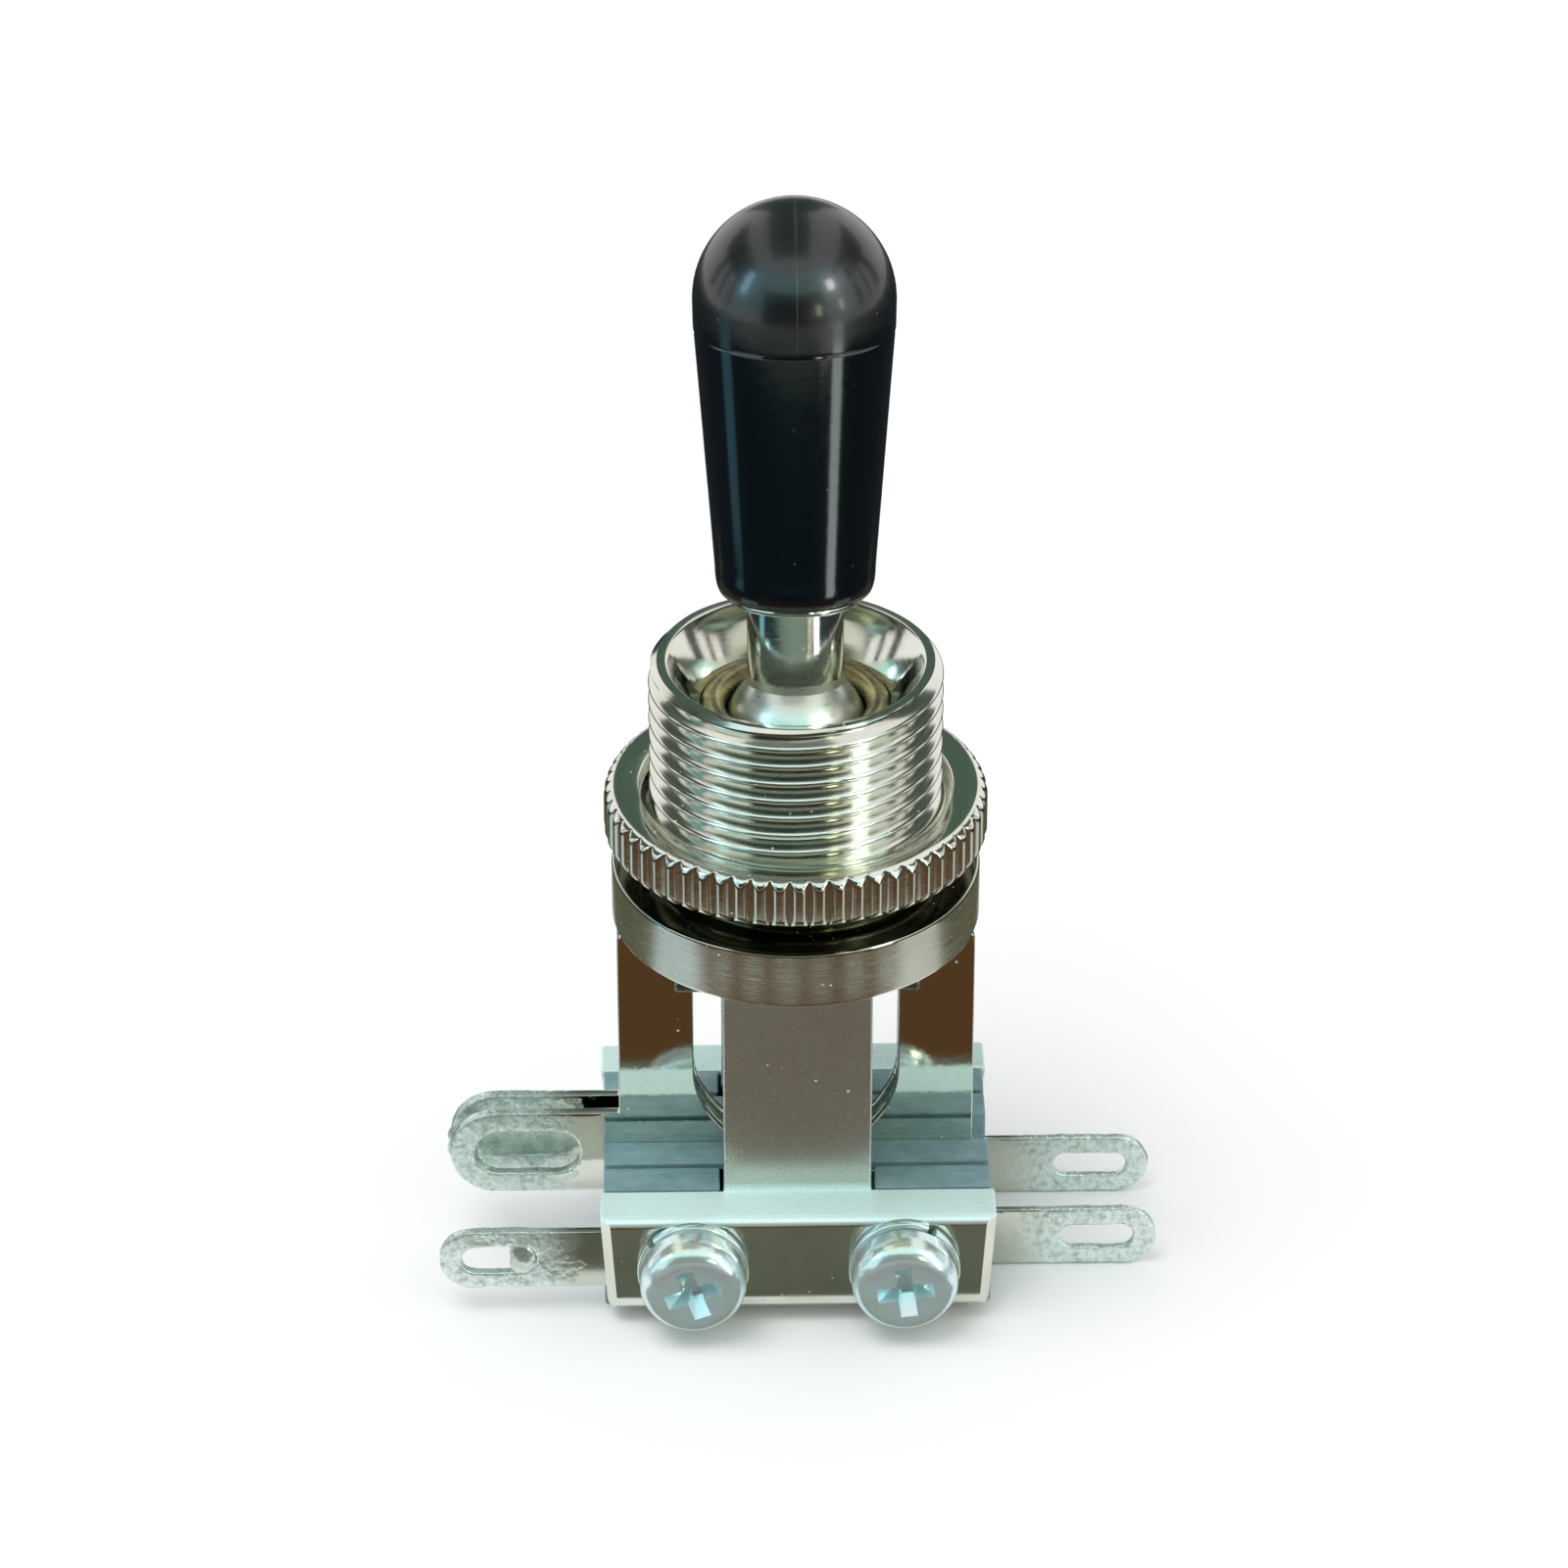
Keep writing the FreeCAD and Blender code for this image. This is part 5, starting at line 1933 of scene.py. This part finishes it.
@dataclass
class Stage:
    """White floor, even soft light, and a room of cards that only gloss shows."""

    floor_half: float = 3.0
    floor_drop: float = 0.00002
    floor_tone: Triple = (0.97, 0.975, 0.97)
    sky_tone: Triple = (0.985, 1.0, 1.0)
    sky_strength: float = 0.78
    lamp_power: float = 5.2
    lamp_size: Pair = (0.8, 0.6)
    lamp_place: Triple = (-0.35, -0.2, 1.1)
    lamp_aim: Triple = (0.0, 0.02, 0.0)
    knurl_radius: float = 8.2
    glint_reach: Pair = (24.4, 28.6)
    glint_tone: Triple = (0.62, 0.72, 0.68)
    glints: tuple[Pair, ...] = ((-74, -62), (-53, -43), (-34, -22), (-14, 1), (9, 20), (30, 42),
                                               (52, 62), (72, 82))
    cards: tuple[Card, ...] = (
        Card("table_near", (0.13, 0.14, 0.105), 0.06, ((-16, -15), (16, -15), (11, -8.4), (-11, -8.4))),
        Card("table_front", (0.092, 0.046, 0.019), 0.1,
             ((-22, -14.5), (22, -14.5), (43, -25), (60, -45),
              (50, -62), (-50, -62), (-60, -45), (-43, -25))),
        Card("table_far_front", (0.012, 0.03, 0.036), 0.1,
             ((-50, -62), (50, -62), (60, -45), (220, -45),
              (220, -220), (-220, -220), (-220, -45), (-60, -45))),
        Card("table_gap_left", (0.50, 0.60, 0.64), 0.1,
             ((-22, -14.5), (-43, -25), (-50, -4), (-20, 2.6), (-20, -10))),
        Card("table_gap_right", (0.56, 0.57, 0.52), 0.1,
             ((22, -14.5), (43, -25), (50, -4), (20, 2.6), (20, -10))),
        Card("table_left", (0.10, 0.095, 0.056), 0.1, ((-15, 4), (-50, -4), (-50, 40), (-14, 40))),
        Card("table_right", (0.10, 0.095, 0.056), 0.1, ((15, 4), (50, -4), (50, 40), (14, 40))),
        Card("table_far_left", (0.022, 0.03, 0.034), 0.1,
             ((-43, -25), (-60, -45), (-220, -45), (-220, 220), (-14, 220), (-14, 40), (-50, 40), (-50, -4))),
        Card("table_far_right", (0.022, 0.03, 0.034), 0.1,
             ((43, -25), (60, -45), (220, -45), (220, 220), (14, 220), (14, 40), (50, 40), (50, -4))),
        Card("front_wall", (0.25, 0.34, 0.28), 0.1, high=20, radius=165, bearings=(-66, 26)),
        Card("left_window", (0.30, 0.80, 0.95), 0.1, high=34, radius=75, bearings=(-91, -77), glow=0.6),
        Card("right_window", (0.85, 1.0, 0.94), 0.1, high=34, radius=75, bearings=(42, 54), glow=2.8),
        Card("right_sill", (1.0, 1.0, 0.88), 0.1, high=20, radius=165, bearings=(27, 40), glow=0.9),
        Card("front_sky", (0.60, 0.98, 1.0), 180, high=330, radius=230, bearings=(-75, 75), glow=1.25),
        Card("left_sky", (0.50, 0.90, 1.0), 62, high=180, radius=230, bearings=(-75, -38), glow=1.0),
        Card("right_sky", (0.75, 1.0, 0.95), 62, high=180, radius=230, bearings=(36, 75), glow=1.1),
        Card("front_dark", (0.03, 0.022, 0.016), 22, high=179, radius=230, bearings=(-38, 36)),
        Card("left_lamp", (0.45, 0.78, 1.0), 110, high=235, radius=226, bearings=(-72, -62), glow=7.0),
        Card("right_lamp", (1.0, 1.0, 1.0), 162, high=222, radius=226, bearings=(44, 55), glow=18.0),
        Card("side_lamp", (1.0, 1.0, 0.95), 160, high=190, radius=226, bearings=(76, 82), glow=18.0),
        Card("yellow_lamp", (0.95, 1.0, 0.6), 62, high=108, radius=226, bearings=(24, 30), glow=7.0),
        Card("low_lamp", (0.9, 1.0, 0.95), 62, high=108, radius=226, bearings=(52, 57), glow=7.0),
        Card("ceiling_middle", (0.16, 0.20, 0.18), 240, ((-85, -60), (50, -60), (50, 270), (-85, 270))),
        Card("ceiling_left", (0.07, 0.09, 0.075), 240,
             ((-420, -120), (-175, -120), (-175, 300), (-420, 300))),
        Card("ceiling_right", (0.07, 0.09, 0.075), 240,
             ((185, -120), (420, -120), (420, 300), (185, 300))),
        Card("back_wall", (0.075, 0.12, 0.095), 50, high=240, radius=262, bearings=(164, 196)),
        post("left_post", -116, -108),
        post("left_post_2", -99, -94),
        post("left_post_3", -84, -78),
        post("right_post", 76, 84),
        post("right_post_2", 93, 98, (0.16, 0.13, 0.06)),
        post("right_post_3", 107, 117),
    )

    def build(self) -> None:
        """Lay the floor, light the room and hang its cards."""
        self.make_floor()
        self.make_world()
        self.make_lamp()
        for card in self.cards + tuple(self.glint(*span) for span in self.glints):
            self.hang(card)

    def glint(self, start: float, end: float) -> Card:
        """Pale patch of the table that the knurl shows between two bearings.

        Args:
            start: Bearing of its left side in degrees.
            end: Bearing of its right side.

        Returns:
            The patch as a card.
        """
        near, far = self.glint_reach
        outline = []
        for degrees, reach in ((start, near), (end, near), (end, far), (start, far)):
            bearing = math.radians(degrees)
            outline.append((self.knurl_radius * math.sin(bearing / 2) + reach * math.sin(bearing),
                            -self.knurl_radius * math.cos(bearing / 2) - reach * math.cos(bearing)))
        return Card(f"glint_at_{start + 180:.0f}", self.glint_tone, 0.2, tuple(outline))

    def show(self, name: str, data: bpy.types.Mesh, tone: Triple,
             glow: float = 0.0) -> Piece:
        """Put a stage piece into the scene.

        Args:
            name: Name of the piece.
            data: Its mesh.
            tone: Its colour.
            glow: Strength of its own light.

        Returns:
            The piece, marked as stage.
        """
        sheet = NodeSheet(name)
        matt = colour(0.0, 0.0, 0.0) if glow else colour(*tone)
        sheet.set(Base_Color=matt, Roughness=1.0, Specular_IOR_Level=0.0, Emission_Color=colour(*tone),
                  Emission_Strength=glow)
        data.materials.append(sheet.material)
        piece = bpy.data.objects.new(name, data)
        bpy.context.scene.collection.objects.link(piece)
        return piece

    def hang(self, card: Card) -> None:
        """Hang a card where the camera and the soft light pass it by.

        Args:
            card: The card.
        """
        piece = self.show(card.name, card.mesh(), card.tone, card.glow)
        piece.location.z = CAD_BOX[0].z
        piece.visible_camera = False
        piece.visible_diffuse = False
        piece.visible_shadow = False

    def make_floor(self) -> None:
        """Wide white floor just under the switch."""
        half = self.floor_half
        level = CAD_BOX[0].z - self.floor_drop
        corners = [(x * half, y * half, level) for x, y in ((-1, -1), (1, -1), (1, 1), (-1, 1))]
        data = bpy.data.meshes.new("floor")
        data.from_pydata(corners, [], [(0, 1, 2, 3)])
        self.show("floor", data, self.floor_tone)

    def make_world(self) -> None:
        """White surroundings for the camera and for gloss, and an even soft light for the rest."""
        world = bpy.data.worlds.new("soft_room")
        bpy.context.scene.world = world
        world.use_nodes = True
        tree = world.node_tree
        tree.nodes.clear()
        output = tree.nodes.new("ShaderNodeOutputWorld")
        mix = tree.nodes.new("ShaderNodeMixShader")
        soft = tree.nodes.new("ShaderNodeBackground")
        white = tree.nodes.new("ShaderNodeBackground")
        soft.inputs["Color"].default_value = colour(*self.sky_tone)
        soft.inputs["Strength"].default_value = self.sky_strength
        white.inputs["Color"].default_value = colour(1.0, 1.0, 1.0)
        rays = tree.nodes.new("ShaderNodeLightPath")
        seen = rays.outputs["Is Camera Ray"]
        for kind in ("Is Glossy Ray", "Is Transmission Ray"):
            either = tree.nodes.new("ShaderNodeMath")
            either.operation = "MAXIMUM"
            tree.links.new(seen, either.inputs[0])
            tree.links.new(rays.outputs[kind], either.inputs[1])
            seen = either.outputs[0]
        tree.links.new(seen, mix.inputs["Fac"])
        tree.links.new(soft.outputs[0], mix.inputs[1])
        tree.links.new(white.outputs[0], mix.inputs[2])
        tree.links.new(mix.outputs[0], output.inputs["Surface"])

    def make_lamp(self) -> None:
        """Large soft box high over the front left, which gloss doesn't show."""
        data = bpy.data.lights.new("top_box", "AREA")
        data.shape = "RECTANGLE"
        data.size, data.size_y = self.lamp_size
        data.energy = self.lamp_power
        lamp = bpy.data.objects.new("top_box", data)
        bpy.context.scene.collection.objects.link(lamp)
        lamp.location = self.lamp_place
        lamp.rotation_mode = "QUATERNION"
        lamp.rotation_quaternion = (Vector(self.lamp_aim) - lamp.location).to_track_quat("-Z", "Y")
        lamp.visible_camera = False
        lamp.visible_glossy = False


@dataclass
class Viewpoint:
    """The camera of the photograph, from its fit to the switch."""

    aim: Triple = (-0.474, 0.0, 21.944)
    distance: float = 276.668
    elevation: float = 31.195
    azimuth: float = 1.089
    focal_length: float = 156.6
    sensor: float = 36.0

    def build(self) -> None:
        """Set the camera up."""
        up, round_z = math.radians(self.elevation), math.radians(self.azimuth)
        ahead = Vector((math.sin(round_z) * math.cos(up), math.cos(round_z) * math.cos(up), -math.sin(up)))
        data = bpy.data.cameras.new("photo_camera")
        data.lens = self.focal_length
        data.sensor_width = self.sensor
        data.clip_start = 0.01
        camera = bpy.data.objects.new("photo_camera", data)
        bpy.context.scene.collection.objects.link(camera)
        camera.location = (Vector(self.aim) - ahead * self.distance) * MM
        camera.rotation_mode = "QUATERNION"
        camera.rotation_quaternion = ahead.to_track_quat("-Z", "Y")
        bpy.context.scene.camera = camera


def main() -> None:
    """Build the switch, its stage and the camera."""
    logging.basicConfig(level=logging.INFO, format="%(name)s %(message)s")
    finishes = Finishes()
    for assembly in (Bushing(finishes), Lever(finishes), Chassis(finishes), BladeStack(finishes)):
        assembly.build()
    Stage().build()
    Viewpoint().build()
    bpy.context.scene.view_settings.view_transform = "Standard"


if __name__ == "__main__":
    main()
